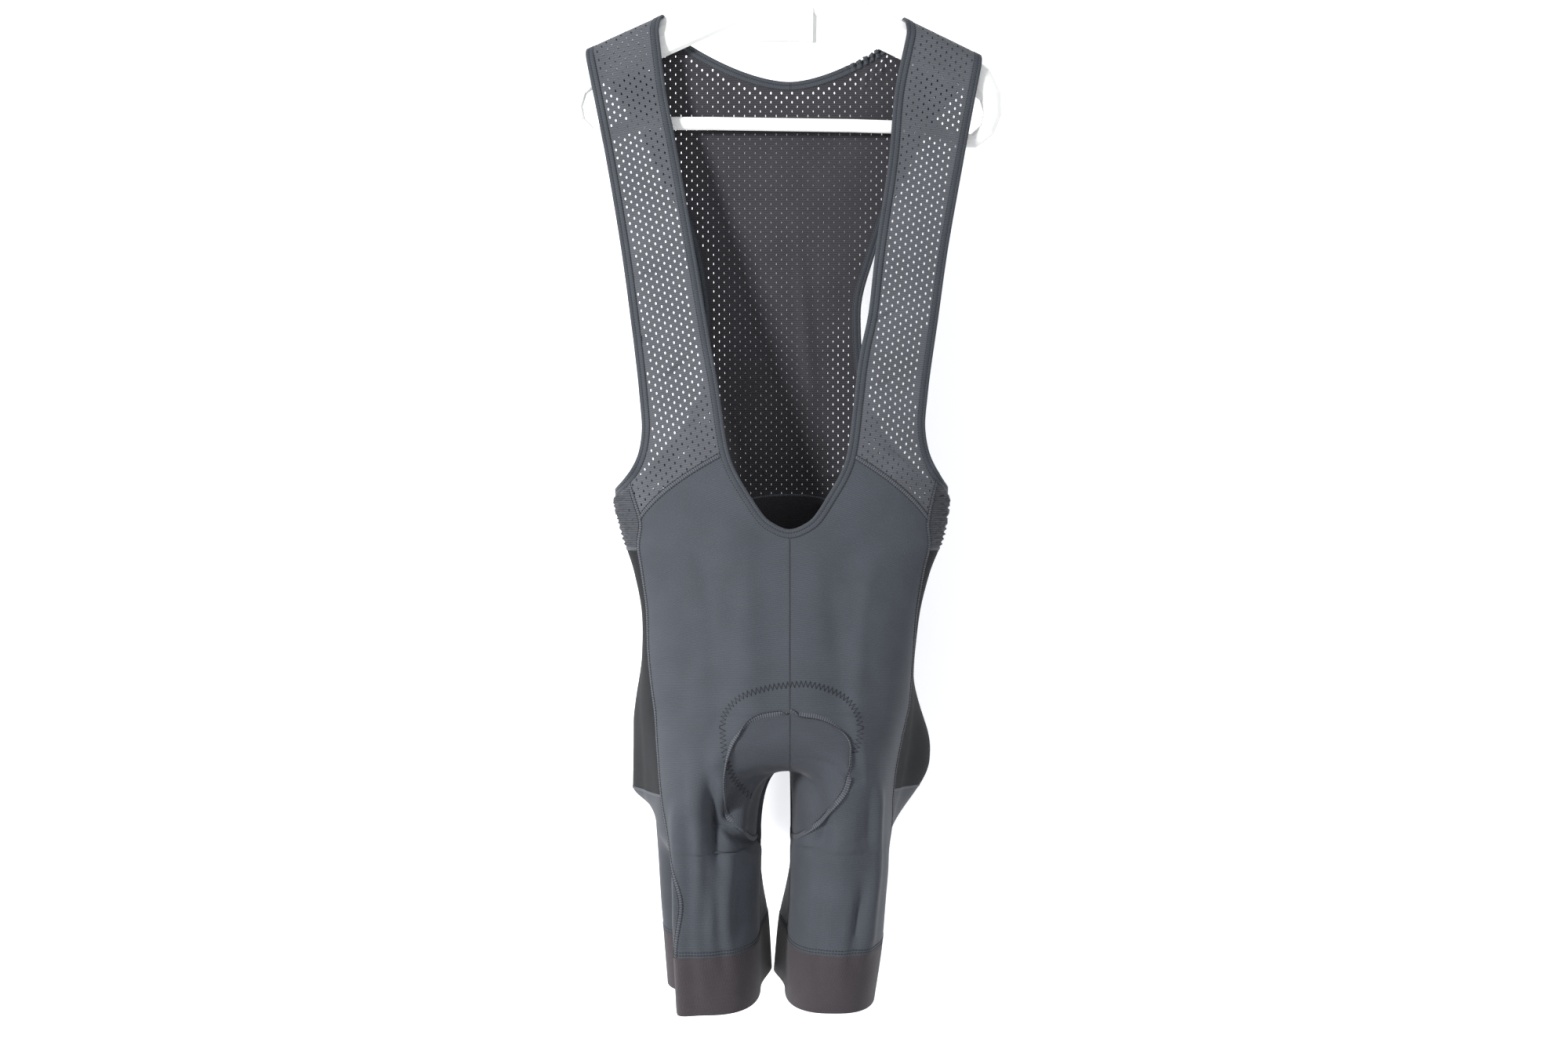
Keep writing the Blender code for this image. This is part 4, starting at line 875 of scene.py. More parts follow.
        place = np.linspace(0.0, last, FINE_ROWS)[1:-1, None]
        out_x, out_z, mid_z = (at[name](place) for name in names)
        near_end = smooth_step(place / last)
        bulge = (1.0 - smooth_step(NECKLINE_FADE * place / last)) ** 2
        across = blend(top_places[None, :], end_places[None, :], near_end)
        x = blend(out_x, CENTRE_X, across)
        from_top = top[:, 2] - blend(top[0, 2], top[-1, 2], top_places)
        from_end = end_row[:, 2] - blend(end_row[0, 2], end_row[-1, 2], end_places)
        z = blend(out_z, mid_z, across) + from_top * bulge + from_end * near_end
        inner = Form.cloth(side, Form.turn_at(side, x, z, BACK), z)
        return Net(np.concatenate((top[None], inner, end_row[None])), side)

    def gusset(self) -> Net:
        """Return half the gusset, from the front seam under the crotch to the back seam."""
        steps = self.fine_steps("gusset", "inseam")
        front, _, rear = self.body(steps)
        seam = np.concatenate((front.points[:, 0], rear.points[-2::-1, -1]))
        first, last = self.step_of("gusset"), self.step_of("inseam")
        run = (steps - first) / (last - first)
        half = np.concatenate((run, 2.0 - run[-2::-1]))
        share = np.where(half <= 1.0, half ** GUSSET_FAN / 2,
                         1.0 - np.maximum(2.0 - half, 0.0) ** GUSSET_FAN / 2)
        places = [point.share for point in CROTCH_LINE]
        depth = Curve(places, [point.y for point in CROTCH_LINE])(share)
        height = Curve(places, [point.z for point in CROTCH_LINE])(share)
        centre = np.stack((np.full_like(share, CENTRE_X), depth, height), axis=-1)
        centre[0], centre[-1] = seam[0], seam[-1]
        corner = np.stack((seam[:, 0], (centre[:, 1] + seam[:, 1]) / 2, centre[:, 2]), axis=-1)
        t = np.linspace(0.0, 1.0, self.gusset_columns + 1)[None, :, None]
        points = centre[:, None] * (1 - t) ** 2 + corner[:, None] * (2 * t * (1 - t)) + seam[:, None] * t ** 2
        return Net(points, self.side)


# The bands of a wave texture at scale 1, in a length of one full turn
WAVE_BANDS = 20.0


class Weave(Enum):
    """How a cloth's surface is made."""

    SMOOTH_KNIT = "smooth knit"
    NET = "net"
    RIB = "rib"
    BINDING = "binding"
    STITCH = "stitch"


@dataclass(frozen=True)
class Finish:
    """A material: its colours, its gloss, and its pattern's size in millimetres."""

    name: str
    colour: str
    shade: str
    weave: Weave
    pitch_mm: float
    roughness: float
    relief_mm: float
    sheen: float = 0.10

    def make(self) -> bpy.types.Material:
        """Return the finish as a node material."""
        material, tree, shader = new_material(self.name, {
            "Roughness": self.roughness,
            "Sheen Weight": self.sheen,
            "Sheen Roughness": 0.45,
            "Specular IOR Level": 0.35,
        })
        cloth = {"Vector": (add_node(tree, "ShaderNodeUVMap", {"uv_map": "cloth"}), "UV")}
        pattern = self.pattern(tree, cloth)
        cloudy = add_node(tree, "ShaderNodeTexNoise", {"Scale": 22.0, "Detail": 3.0}, cloth)
        fuzz = add_node(tree, "ShaderNodeTexNoise", {"Scale": 900.0, "Detail": 2.0}, cloth)
        tones = {"data_type": "RGBA", "A": linear(self.shade), "B": linear(self.colour)}
        tone = add_node(tree, "ShaderNodeMix", tones, {"Factor": (pattern, 0)})
        middle = {"From Min": 0.3, "From Max": 0.7}
        broad = add_node(tree, "ShaderNodeMapRange", middle | {"To Min": 0.90, "To Max": 1.10},
                         {"Value": (cloudy, "Fac")})
        grain = add_node(tree, "ShaderNodeMapRange", middle | {"To Min": 0.86, "To Max": 1.14},
                         {"Value": (fuzz, "Fac")})
        both = add_node(tree, "ShaderNodeMath", {"operation": "MULTIPLY"}, {0: (broad, 0), 1: (grain, 0)})
        colour = add_node(tree, "ShaderNodeVectorMath", {"operation": "SCALE"},
                          {"Vector": (tone, "Result"), "Scale": (both, 0)})
        relief = add_node(tree, "ShaderNodeMath", {"operation": "MULTIPLY_ADD", 1: 0.35},
                          {0: (fuzz, "Fac"), 2: (pattern, 0)})
        bump = add_node(tree, "ShaderNodeBump", {"Strength": 0.8, "Distance": self.relief_mm / 1000},
                        {"Height": (relief, 0)})
        tree.links.new(colour.outputs[0], shader.inputs["Base Color"])
        tree.links.new(bump.outputs[0], shader.inputs["Normal"])
        return material

    def pattern(self, tree: bpy.types.NodeTree, cloth: dict) -> bpy.types.Node:
        """Return the node whose first output is the weave's height, 0 to 1."""
        scale = 1000.0 / self.pitch_mm / WAVE_BANDS * math.tau
        upright = self.weave in (Weave.RIB, Weave.STITCH, Weave.BINDING)
        wave = add_node(tree, "ShaderNodeTexWave", {
            "bands_direction": "X" if upright else "Y",
            "Scale": scale,
            "Distortion": 0.6,
            "Detail": 1.0,
            "Detail Scale": 1.5,
        }, cloth)
        return add_node(tree, "ShaderNodeMapRange", {"To Min": 0.0, "To Max": 1.0}, {"Value": (wave, "Fac")})


def new_material(name: str, values: dict) -> tuple[bpy.types.Material, bpy.types.NodeTree, bpy.types.Node]:
    """Make a material.

    Args:
        name: its name.
        values: values of its shader by input name.

    Returns:
        The material, its node tree and its shader.
    """
    material = bpy.data.materials.new(name)
    material.use_nodes = True
    shader = material.node_tree.nodes["Principled BSDF"]
    for socket, value in values.items():
        shader.inputs[socket].default_value = value
    return material, material.node_tree, shader


def linear(hex_colour: str) -> tuple[float, float, float, float]:
    """Return an sRGB hex colour as linear red, green, blue and alpha."""
    values = [int(hex_colour[index:index + 2], 16) / 255 for index in (1, 3, 5)]
    red, green, blue = (value / 12.92 if value <= 0.04045 else ((value + 0.055) / 1.055) ** 2.4
                        for value in values)
    return red, green, blue, 1.0


def add_node(tree: bpy.types.NodeTree, kind: str, settings: dict | None = None,
             links: dict | None = None) -> bpy.types.Node:
    """Add one node.

    Args:
        tree: the material's node tree.
        kind: the node's type.
        settings: values by property name, or by input name or number.
        links: for an input name or number, the node and output that feed it.

    Returns:
        The new node.
    """
    node = tree.nodes.new(kind)
    for name, value in (settings or {}).items():
        if isinstance(name, str) and hasattr(node, name):
            setattr(node, name, value)
        else:
            socket_of(node, name).default_value = value
    for name, (source, output) in (links or {}).items():
        tree.links.new(source.outputs[output], socket_of(node, name))
    return node


def socket_of(node: bpy.types.Node, name: str | int) -> bpy.types.NodeSocket:
    """Return a node's enabled input of this name or number."""
    if isinstance(name, int):
        return node.inputs[name]
    return next(socket for socket in node.inputs if socket.name == name and socket.enabled)


# Warp-knitted polyester and elastane, dyed charcoal: even and matt with a faint cool sheen
FRONT_KNIT = Finish("warp_knit_front", "#3f444a", "#373a41", Weave.SMOOTH_KNIT, 1.6, 0.80, 0.06)
GUSSET_KNIT = Finish("warp_knit_gusset", "#3e4148", "#36393f", Weave.SMOOTH_KNIT, 1.6, 0.82, 0.06)
LEG_KNIT = Finish("warp_knit_leg", "#383c42", "#303339", Weave.SMOOTH_KNIT, 1.6, 0.80, 0.06)
# Seat knit with no sheen and a much darker colour: partly the knit's own darker tone, partly painted shade on
# the pouches that face away from the light
SEAT_KNIT_AND_SHADE = Finish("warp_knit_seat", "#17181b", "#121316", Weave.SMOOTH_KNIT, 1.6, 0.88, 0.06, 0.0)
# Perforated knit: fine courses run across it between the rows of holes
STRAP_NET = Finish("perforated_knit_strap", "#54575c", "#44464b", Weave.NET, 2.15, 0.80, 0.25)
# The back's net in two copies of one colour: a paler one with painted light for the underarms that show in
# front, a darker one with painted shade for the inside of the back
UNDERARM_NET_LIT = Finish("perforated_knit_underarm", "#44474c", "#2e3035", Weave.NET, 2.15, 0.80, 0.25)
BACK_NET_SHADED = Finish("perforated_knit_back", "#36353a", "#252428", Weave.NET, 2.15, 0.80, 0.25)
# Elastic band, dyed a little browner than the knit, with fine upright ribs
ELASTIC_BAND = Finish("ribbed_elastic_band", "#3e383b", "#343033", Weave.RIB, 1.5, 0.85, 0.18)
# Folded knit strip, closed with a twin needle
BINDING_KNIT = Finish("folded_binding", "#3c4046", "#30343a", Weave.BINDING, 1.8, 0.75, 0.12)
# Textured polyester thread in flat seams: a shade paler than the cloth
SEAM_THREAD = Finish("flatlock_thread", "#565960", "#33353a", Weave.STITCH, 2.2, 0.80, 0.30)
PAD_THREAD = Finish("pad_thread", "#24262a", "#1a1b1e", Weave.STITCH, 1.1, 0.85, 0.10)
DARK_THREAD = Finish("overlock_thread", "#3a3c41", "#25262a", Weave.STITCH, 2.2, 0.80, 0.25)
# Doubled dark knit behind the back of the waist
FACING_KNIT = Finish("facing_knit", "#232226", "#1c1b1f", Weave.SMOOTH_KNIT, 1.6, 0.7, 0.10)


@dataclass(frozen=True)
class Moulding:
    """Injection-moulded polypropylene: white, smooth, with a faint orange peel."""

    name: str = "moulded_polypropylene"
    colour: str = "#f4f4f2"
    shade: str = "#ececea"
    roughness: float = 0.38

    def make(self) -> bpy.types.Material:
        """Return the finish as a node material."""
        material, tree, shader = new_material(self.name, {"Roughness": self.roughness, "IOR": 1.49})
        solid = {"Vector": (add_node(tree, "ShaderNodeTexCoord"), "Object")}
        peel = add_node(tree, "ShaderNodeTexNoise", {"Scale": 700.0, "Detail": 2.0}, solid)
        cloudy = add_node(tree, "ShaderNodeTexNoise", {"Scale": 14.0, "Detail": 2.0}, solid)
        tones = {"data_type": "RGBA", "A": linear(self.shade), "B": linear(self.colour)}
        tone = add_node(tree, "ShaderNodeMix", tones, {"Factor": (cloudy, "Fac")})
        bump = add_node(tree, "ShaderNodeBump", {"Strength": 0.25, "Distance": 0.0001},
                        {"Height": (peel, "Fac")})
        tree.links.new(tone.outputs["Result"], shader.inputs["Base Color"])
        tree.links.new(bump.outputs[0], shader.inputs["Normal"])
        return material


@dataclass(frozen=True)
class Stitch:
    """A kind of stitch: from one to the next, its length, and its thread's radius."""

    pitch: float
    length: float
    radius: float


BINDING_STITCH = Stitch(0.0027, 0.0023, 0.00038)
EDGING_STITCH = Stitch(0.0030, 0.0026, 0.0004)
BAND_STITCH = Stitch(0.0029, 0.0024, 0.00045)


@dataclass
class Workshop:
    """Turns nets and paths into pieces of the scene."""

    finishes: dict[str, bpy.types.Material] = field(default_factory=dict)
    pieces: dict[str, bpy.types.Object] = field(default_factory=dict)

    def material(self, finish: Finish) -> bpy.types.Material:
        """Return a finish's material, made once."""
        if finish.name not in self.finishes:
            self.finishes[finish.name] = finish.make()
        return self.finishes[finish.name]

    def add(self, name: str, points: np.ndarray, faces: Sequence[Sequence[int]], maps: np.ndarray,
            finish: Finish, slot: str) -> bpy.types.Object:
        """Add a mesh as a piece of the garment.

        Args:
            name: the piece's name.
            points: its vertices.
            faces: the vertex numbers of each face.
            maps: a place on the cloth, in metres, for each vertex.
            finish: its finish.
            slot: the record's material slot; not used.

        Returns:
            The new object.
        """
        mesh = bpy.data.meshes.new(name)
        mesh.from_pydata(points.tolist(), [], faces)
        layer = mesh.uv_layers.new(name="cloth")
        corners = np.empty(len(mesh.loops), int)
        mesh.loops.foreach_get("vertex_index", corners)
        layer.data.foreach_set("uv", maps[corners].astype(np.float32).ravel())
        mesh.materials.append(self.material(finish))
        mesh.validate()
        mesh.update()
        piece = bpy.data.objects.new(name, mesh)
        bpy.context.scene.collection.objects.link(piece)
        mesh.shade_smooth()
        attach(piece, ROOT)
        self.pieces[name] = piece
        return piece

    def thicken(self, piece: bpy.types.Object, thickness: float) -> None:
        """Give an open sheet its thickness, half to each side, with crisp cut edges."""
        wall = piece.modifiers.new("wall", "SOLIDIFY")
        wall.thickness = thickness
        wall.offset = 0.0
        use_only(piece)
        bpy.ops.object.modifier_apply(modifier=wall.name)
        bpy.ops.object.shade_smooth_by_angle(angle=CREASE_ANGLE)
        piece.select_set(False)

    def panel(self, name: str, net: Net, thickness: float, finish: Finish, slot: str) -> bpy.types.Object:
        """Add a net as a knitted panel of this thickness."""
        number = numbers_of(net)
        faces = quads_of(number, net.facing).tolist()
        columns = number.shape[1]
        middle = columns // 2
        down = np.repeat(net.lengths_down(middle)[:, None], columns, axis=1)
        maps = np.stack((net.lengths_across(middle), down), axis=-1).reshape(-1, 2)
        piece = self.add(name, net.points.reshape(-1, 3), faces, maps, finish, slot)
        self.thicken(piece, thickness)
        return piece

    def sweep(self, name: str, path: Path, outline: Sequence[tuple[float, float]], finish: Finish,
              slot: str) -> bpy.types.Object:
        """Add a strip of one outline along a path.

        Args:
            name: the piece's name.
            path: the path, with its normals.
            outline: the strip's outline, as (across, up) pairs in metres.
            finish: its finish.
            slot: the record's material slot that it takes.

        Returns:
            The new object.
        """
        across, up = (np.array(column) for column in zip(*outline))
        _, sideways, upward = path.axes()
        rings = (path.points[:, None] + sideways[:, None] * across[None, :, None]
                 + upward[:, None] * up[None, :, None])
        count, sides = rings.shape[:2]
        number = np.arange(count * sides).reshape(count, sides)
        after = np.roll(number, -1, axis=0) if path.closed else number[1:]
        before = number if path.closed else number[:-1]
        quads = np.stack((before, np.roll(before, -1, axis=1), np.roll(after, -1, axis=1), after), axis=-1)
        faces = quads.reshape(-1, 4).tolist()
        if not path.closed:
            faces += [number[0, ::-1].tolist(), number[-1].tolist()]
        length = path.lengths()
        maps = np.stack(np.broadcast_arrays(length[:, None], across[None, :]), axis=-1).reshape(-1, 2)
        piece = self.add(name, rings.reshape(-1, 3), faces, maps, finish, slot)
        face_outward(piece.data)
        return piece

    def stitches(self, name: str, paths: Sequence[Path], stitch: Stitch, slot: str) -> bpy.types.Object:
        """Add rows of single stitches, each a short round thread that dips into the cloth.

        Args:
            name: the piece's name.
            paths: the lines that the stitches follow.
            stitch: the kind of stitch.
            slot: the record's material slot that it takes.

        Returns:
            The new object.
        """
        points, faces, maps = [], [], []
        sides, last = len(STITCH_ANGLES), len(STITCH_SIZES) - 1
        for path in paths:
            line = path.even(stitch.pitch, 0)
            along, across, up = line.axes()
            for index, centre in enumerate(line.points):
                start = len(points)
                for ring, (share, size) in enumerate(zip(STITCH_SHARES, STITCH_SIZES)):
                    dip = up[index] * stitch.radius * (size - 1.0)
                    middle = centre + along[index] * stitch.length * share + dip
                    for angle in STITCH_ANGLES:
                        offset = across[index] * math.cos(angle) + up[index] * math.sin(angle)
                        points.append(middle + offset * stitch.radius * size)
                        maps.append((index * stitch.pitch + share * stitch.length, ring * stitch.radius))
                for low in range(start, start + last * sides, sides):
                    for side in range(sides):
                        after = (side + 1) % sides
                        faces.append((low + side, low + after, low + sides + after, low + sides + side))
                faces.append(tuple(start + side for side in reversed(range(sides))))
                faces.append(tuple(start + last * sides + side for side in range(sides)))
        piece = self.add(name, np.array(points), faces, np.array(maps), PAD_THREAD, slot)
        face_outward(piece.data)
        return piece


def face_outward(mesh: bpy.types.Mesh) -> None:
    """Turn the faces of closed shells outward."""
    shell = bmesh.new()
    shell.from_mesh(mesh)
    bmesh.ops.recalc_face_normals(shell, faces=shell.faces)
    shell.to_mesh(mesh)
    shell.free()


def use_only(piece: bpy.types.Object) -> None:
    """Select one object alone, for the operators that follow."""
    for other in bpy.context.selected_objects:
        other.select_set(False)
    piece.select_set(True)
    bpy.context.view_layer.objects.active = piece


@dataclass
class Path:
    """A line on the cloth, with the cloth's normal and a sideways direction at each point."""

    points: np.ndarray
    normals: np.ndarray
    inward: np.ndarray
    closed: bool = False

    @staticmethod
    def joined(paths: Sequence[Path], closed: bool = False) -> Path:
        """Return paths that follow on from each other as one."""
        return Path(*(np.concatenate([getattr(path, name) for path in paths])
                      for name in ("points", "normals", "inward")), closed)

    def backwards(self) -> Path:
        """Return the line from its end to its start."""
        return Path(self.points[::-1], self.normals[::-1], self.inward[::-1], self.closed)

    def cut(self, start: int | None = None, stop: int | None = None) -> Path:
        """Return part of the line, by point numbers."""
        return Path(self.points[start:stop], self.normals[start:stop], self.inward[start:stop])

    def even(self, spacing: float, smoothing: int = 2) -> Path:
        """Return the line with its points about this far apart, and smoothed."""
        columns = [self.points, self.normals, unit(self.inward)]
        if self.closed:
            columns = [np.concatenate((values, values[:1])) for values in columns]
        steps = np.linalg.norm(np.diff(columns[0], axis=0), axis=-1)
        length = np.concatenate(([0.0], np.cumsum(steps)))
        count = max(int(round(length[-1] / spacing)), 3)
        wanted = np.linspace(0.0, length[-1], count + 1)
        if self.closed:
            wanted = wanted[:-1]
        columns = [np.stack([np.interp(wanted, length, values[:, axis]) for axis in range(3)], axis=-1)
                   for values in columns]
        for _ in range(smoothing):
            columns = [self.averaged(values) for values in columns]
        return Path(*columns, self.closed)

    def averaged(self, values: np.ndarray) -> np.ndarray:
        """Return values averaged with their neighbours along the line."""
        mixed = (np.roll(values, 1, axis=0) + values * 2.0 + np.roll(values, -1, axis=0)) / 4.0
        if not self.closed:
            mixed[0], mixed[-1] = values[0], values[-1]
        return mixed

    def eased(self, below: float, fade: float, passes: int) -> Path:
        """Return the line with its corners rounded where it hangs below a height."""
        share = smooth_step((below - self.points[:, 2]) / fade)[:, None]
        columns = [self.points, self.normals, self.inward]
        for _ in range(passes):
            columns = [blend(values, self.averaged(values), share) for values in columns]
        return Path(*columns, self.closed)

    def ruffled(self) -> Path:
        """Return the line pushed in and out where the back's neck is gathered."""
        _, _, up = self.axes()
        away = np.linalg.norm((self.points - RUFFLE_PLACE)[:, ::2], axis=1)
        behind = self.points[:, 1] > 0.0
        steps = np.linalg.norm(self.points - np.roll(self.points, 1, axis=0), axis=1)
        near = np.exp(-(away / RUFFLE_REACH) ** 2) * behind
        height = RUFFLE_HEIGHT * np.sin(2 * math.pi * np.cumsum(steps) / RUFFLE_PITCH) * near
        return Path(self.points + up * height[:, None], self.normals, self.inward, self.closed)

    def axes(self) -> tuple[np.ndarray, np.ndarray, np.ndarray]:
        """Return the directions along, across and up from the cloth at each point."""
        if self.closed:
            along = unit(np.roll(self.points, -1, axis=0) - np.roll(self.points, 1, axis=0))
        else:
            along = unit(np.gradient(self.points, axis=0))
        across = unit(self.inward - along * np.sum(self.inward * along, axis=-1, keepdims=True))
        up = self.normals - along * np.sum(self.normals * along, axis=-1, keepdims=True)
        up = unit(up - across * np.sum(up * across, axis=-1, keepdims=True))
        return along, across, up

    def shifted(self, across: float, up: float) -> Path:
        """Return the line moved across the cloth and up from it."""
        _, sideways, upward = self.axes()
        return Path(self.points + sideways * across + upward * up, self.normals, self.inward, self.closed)

    def lengths(self) -> np.ndarray:
        """Return the length along the line to each point."""
        steps = np.linalg.norm(np.diff(self.points, axis=0), axis=-1)
        return np.concatenate(([0.0], np.cumsum(steps)))


def whole(point: np.ndarray) -> float:
    """Return the openness of cloth that is stretched open everywhere."""
    return 1.0


def back_openness(point: np.ndarray) -> float:
    """Return how far the back's net is stretched open: it hangs slack in the middle."""
    x, _, z = point
    reach = np.interp(-z, SIDE_DEPTHS, SIDE_REACHES)
    edge = smooth_step((abs(x) / reach - SIDE_START) / (1.0 - SIDE_START))
    below = NECKLINE_Z + NECKLINE_RISE * (x - CENTRE_X) ** 2 - z
    top = blend(TOP_OPENNESS, 1.0, smooth_step((TOP_ROW - below) / TOP_FADE)) if below < TOP_DEPTH else 0.0
    right = smooth_step((x - RIGHT_X) / RIGHT_X_FADE) * smooth_step((RIGHT_Z - z) / RIGHT_Z_FADE)
    return float(max(SLACK_OPENNESS, SIDE_OPENNESS * edge, top, SIDE_OPENNESS * right))


@dataclass(frozen=True)
class Holes:
    """The net's holes: upright ovals in staggered rows, and how far each is stretched open."""

    across: float = 0.0103
    down: float = 0.0041
    half_width: float = 0.00088
    half_height: float = 0.00150
    margin: float = 0.0026
    tilt: float = 0.0
    openness: Callable[[np.ndarray], float] = whole

    def centres(self, outline: np.ndarray) -> np.ndarray:
        """Return the places of all holes that lie clear of the cloth's outline."""
        low, high = outline.min(axis=0), outline.max(axis=0)
        middle = (low + high) / 2
        reach = float(np.linalg.norm(high - low)) / 2
        rows = np.arange(-math.ceil(reach / self.down), math.ceil(reach / self.down) + 1)
        columns = np.arange(-math.ceil(reach / self.across), math.ceil(reach / self.across) + 1)
        row, column = np.meshgrid(rows, columns, indexing="ij")
        level = np.stack(((column + 0.5 * (row % 2)) * self.across, row * self.down), axis=-1)
        places = level.reshape(-1, 2) @ self.turned() + middle
        inside = np.zeros(len(places), bool)
        nearest = np.full(len(places), np.inf)
        for start, end in zip(outline, np.roll(outline, -1, axis=0)):
            side = end - start
            crosses = (start[1] > places[:, 1]) != (end[1] > places[:, 1])
            if side[1] != 0.0:
                at = start[0] + (places[:, 1] - start[1]) / side[1] * side[0]
                inside ^= crosses & (places[:, 0] < at)
            share = np.clip((places - start) @ side / max(float(side @ side), TINY), 0.0, 1.0)
            away = places - start - share[:, None] * side
            nearest = np.minimum(nearest, np.linalg.norm(away, axis=1))
        return places[inside & (nearest > self.margin)]

    def between(self, outline: np.ndarray, centres: np.ndarray) -> np.ndarray:
        """Return places clear of the holes and the outline, for the cloth to bend at."""
        near = KDTree(len(centres))
        for number, centre in enumerate(centres):
            near.insert((centre[0], centre[1], 0.0), number)
        near.balance()
        places = replace(self, across=BEND_ACROSS, down=BEND_DOWN, margin=BEND_MARGIN).centres(outline)
        clear = [near.find((place[0], place[1], 0.0))[2] > self.half_height + BEND_MARGIN for place in places]
        return places[clear]

    def turned(self) -> np.ndarray:
        """Return the matrix that turns level rows by the tilt."""
        cosine, sine = math.cos(self.tilt), math.sin(self.tilt)
        return np.array(((cosine, sine), (-sine, cosine)))

    def outline(self, centre: np.ndarray, openness: float) -> np.ndarray:
        """Return the corners of one hole."""
        angles = np.radians(90 + 360 // HOLE_CORNERS * np.arange(HOLE_CORNERS))
        height = self.half_height * (1.0 - HOLE_STRETCH + HOLE_STRETCH * openness)
        oval = np.stack((np.cos(angles) * self.half_width * openness, np.sin(angles) * height), axis=-1)
        return oval @ self.turned() + centre


@dataclass
class Layout:
    """Cloth laid out flat: a place in the plane for each point of its nets, and its outline."""

    points: np.ndarray
    flat: np.ndarray
    faces: list[list[int]]
    outline: list[int]

    @staticmethod
    def of(nets: Sequence[Net], flats: Sequence[np.ndarray], outline: Sequence[np.ndarray]) -> Layout:
        """Lay out nets.

        Args:
            nets: the nets, which may meet at their edges.
            flats: a place in the plane for each point of each net.
            outline: pieces of the outline in order, as the numbers of the points.

        Returns:
            The layout.
        """
        points, flat, faces, start = [], [], [], 0
        for net, places in zip(nets, flats):
            number = numbers_of(net, start)
            start += number.size
            points.append(net.points.reshape(-1, 3))
            flat.append(places.reshape(-1, 2))
            quads = quads_of(number)
            faces += quads[:, [0, 1, 2]].tolist() + quads[:, [0, 2, 3]].tolist()
        line = np.concatenate(outline)
        places = np.concatenate(flat)
        line = line[np.linalg.norm(places[line] - places[np.roll(line, 1)], axis=1) > SHORTEST_EDGE]
        ring, after = places[line], np.roll(places[line], -1, axis=0)
        if np.sum(ring[:, 0] * after[:, 1] - ring[:, 1] * after[:, 0]) < 0.0:
            line = line[::-1]
        return Layout(np.concatenate(points), places, faces, line.tolist())

    def lift(self, places: Sequence[Sequence[float]]) -> list[Vector]:
        """Return the points on the hung cloth of places in the plane."""
        plane = [Vector((place[0], place[1], 0.0)) for place in self.flat]
        solid = [Vector(point) for point in self.points]
        tree = BVHTree.FromPolygons(plane, self.faces)
        lifted = []
        for place in places:
            spot = Vector((place[0], place[1], 0.0))
            _, _, index, _ = tree.find_nearest(spot)
            corners = self.faces[index]
            lifted.append(barycentric_transform(spot, *(plane[corner] for corner in corners),
                                                *(solid[corner] for corner in corners)))
        return lifted

    def pierced(self, holes: Holes) -> tuple[np.ndarray, list[list[int]], np.ndarray]:
        """Return the cloth's points, faces and flat places with the holes cut out."""
        outline = self.flat[self.outline]
        centres = holes.centres(outline)
        hung = self.lift(centres)
        places = outline.tolist()
        shapes = [list(range(len(places)))]
        for centre, point in zip(centres, hung):
            shapes.append(list(range(len(places), len(places) + HOLE_CORNERS)))
            places += holes.outline(centre, holes.openness(np.array(point))).tolist()
        places += holes.between(outline, centres).tolist()
        cut = delaunay_2d_cdt([Vector(place) for place in places], [], shapes, 1, MERGE_REACH)
        flat, _, triangles, sources, _, owners = cut
        faces = [list(triangle) for triangle, owner in zip(triangles, owners) if list(owner) == [0]]
        points = self.lift(flat)
        for number, source in enumerate(sources):
            if source and source[0] < len(self.outline):
                points[number] = Vector(self.points[self.outline[source[0]]])
        return np.array(points), faces, np.array(flat)


def numbers_of(net: Net, start: int = 0) -> np.ndarray:
    """Return a number for each point of a net, counted from start."""
    rows, columns = net.points.shape[:2]
    return np.arange(rows * columns).reshape(rows, columns) + start


def quads_of(number: np.ndarray, facing: int = 1) -> np.ndarray:
    """Return the corners of each cell of a grid of numbered points."""
    corners = (number[:-1, :-1], number[1:, :-1], number[1:, 1:], number[:-1, 1:])
    return np.stack(corners[::facing], axis=-1).reshape(-1, 4)


def spread_flat(net: Net, column: int, centre_x: float | None = None) -> np.ndarray:
    """Lay a net out: its heights stay, and its level lengths are counted from a column.

    Args:
        net: the net.
        column: the column to count from.
        centre_x: where that column lies, or None to keep its own places.

    Returns:
        A place in the plane for each point.
    """
    steps = np.diff(net.points, axis=1)
    level = np.linalg.norm(steps[..., :2], axis=-1) * np.sign(net.points[0, -1, 0] - net.points[0, 0, 0])
    total = np.concatenate((np.zeros((len(steps), 1)), np.cumsum(level, axis=1)), axis=1)
    base = net.points[:, [column], 0] if centre_x is None else centre_x
    return np.stack((total - total[:, [column]] + base, net.points[..., 2]), axis=-1)


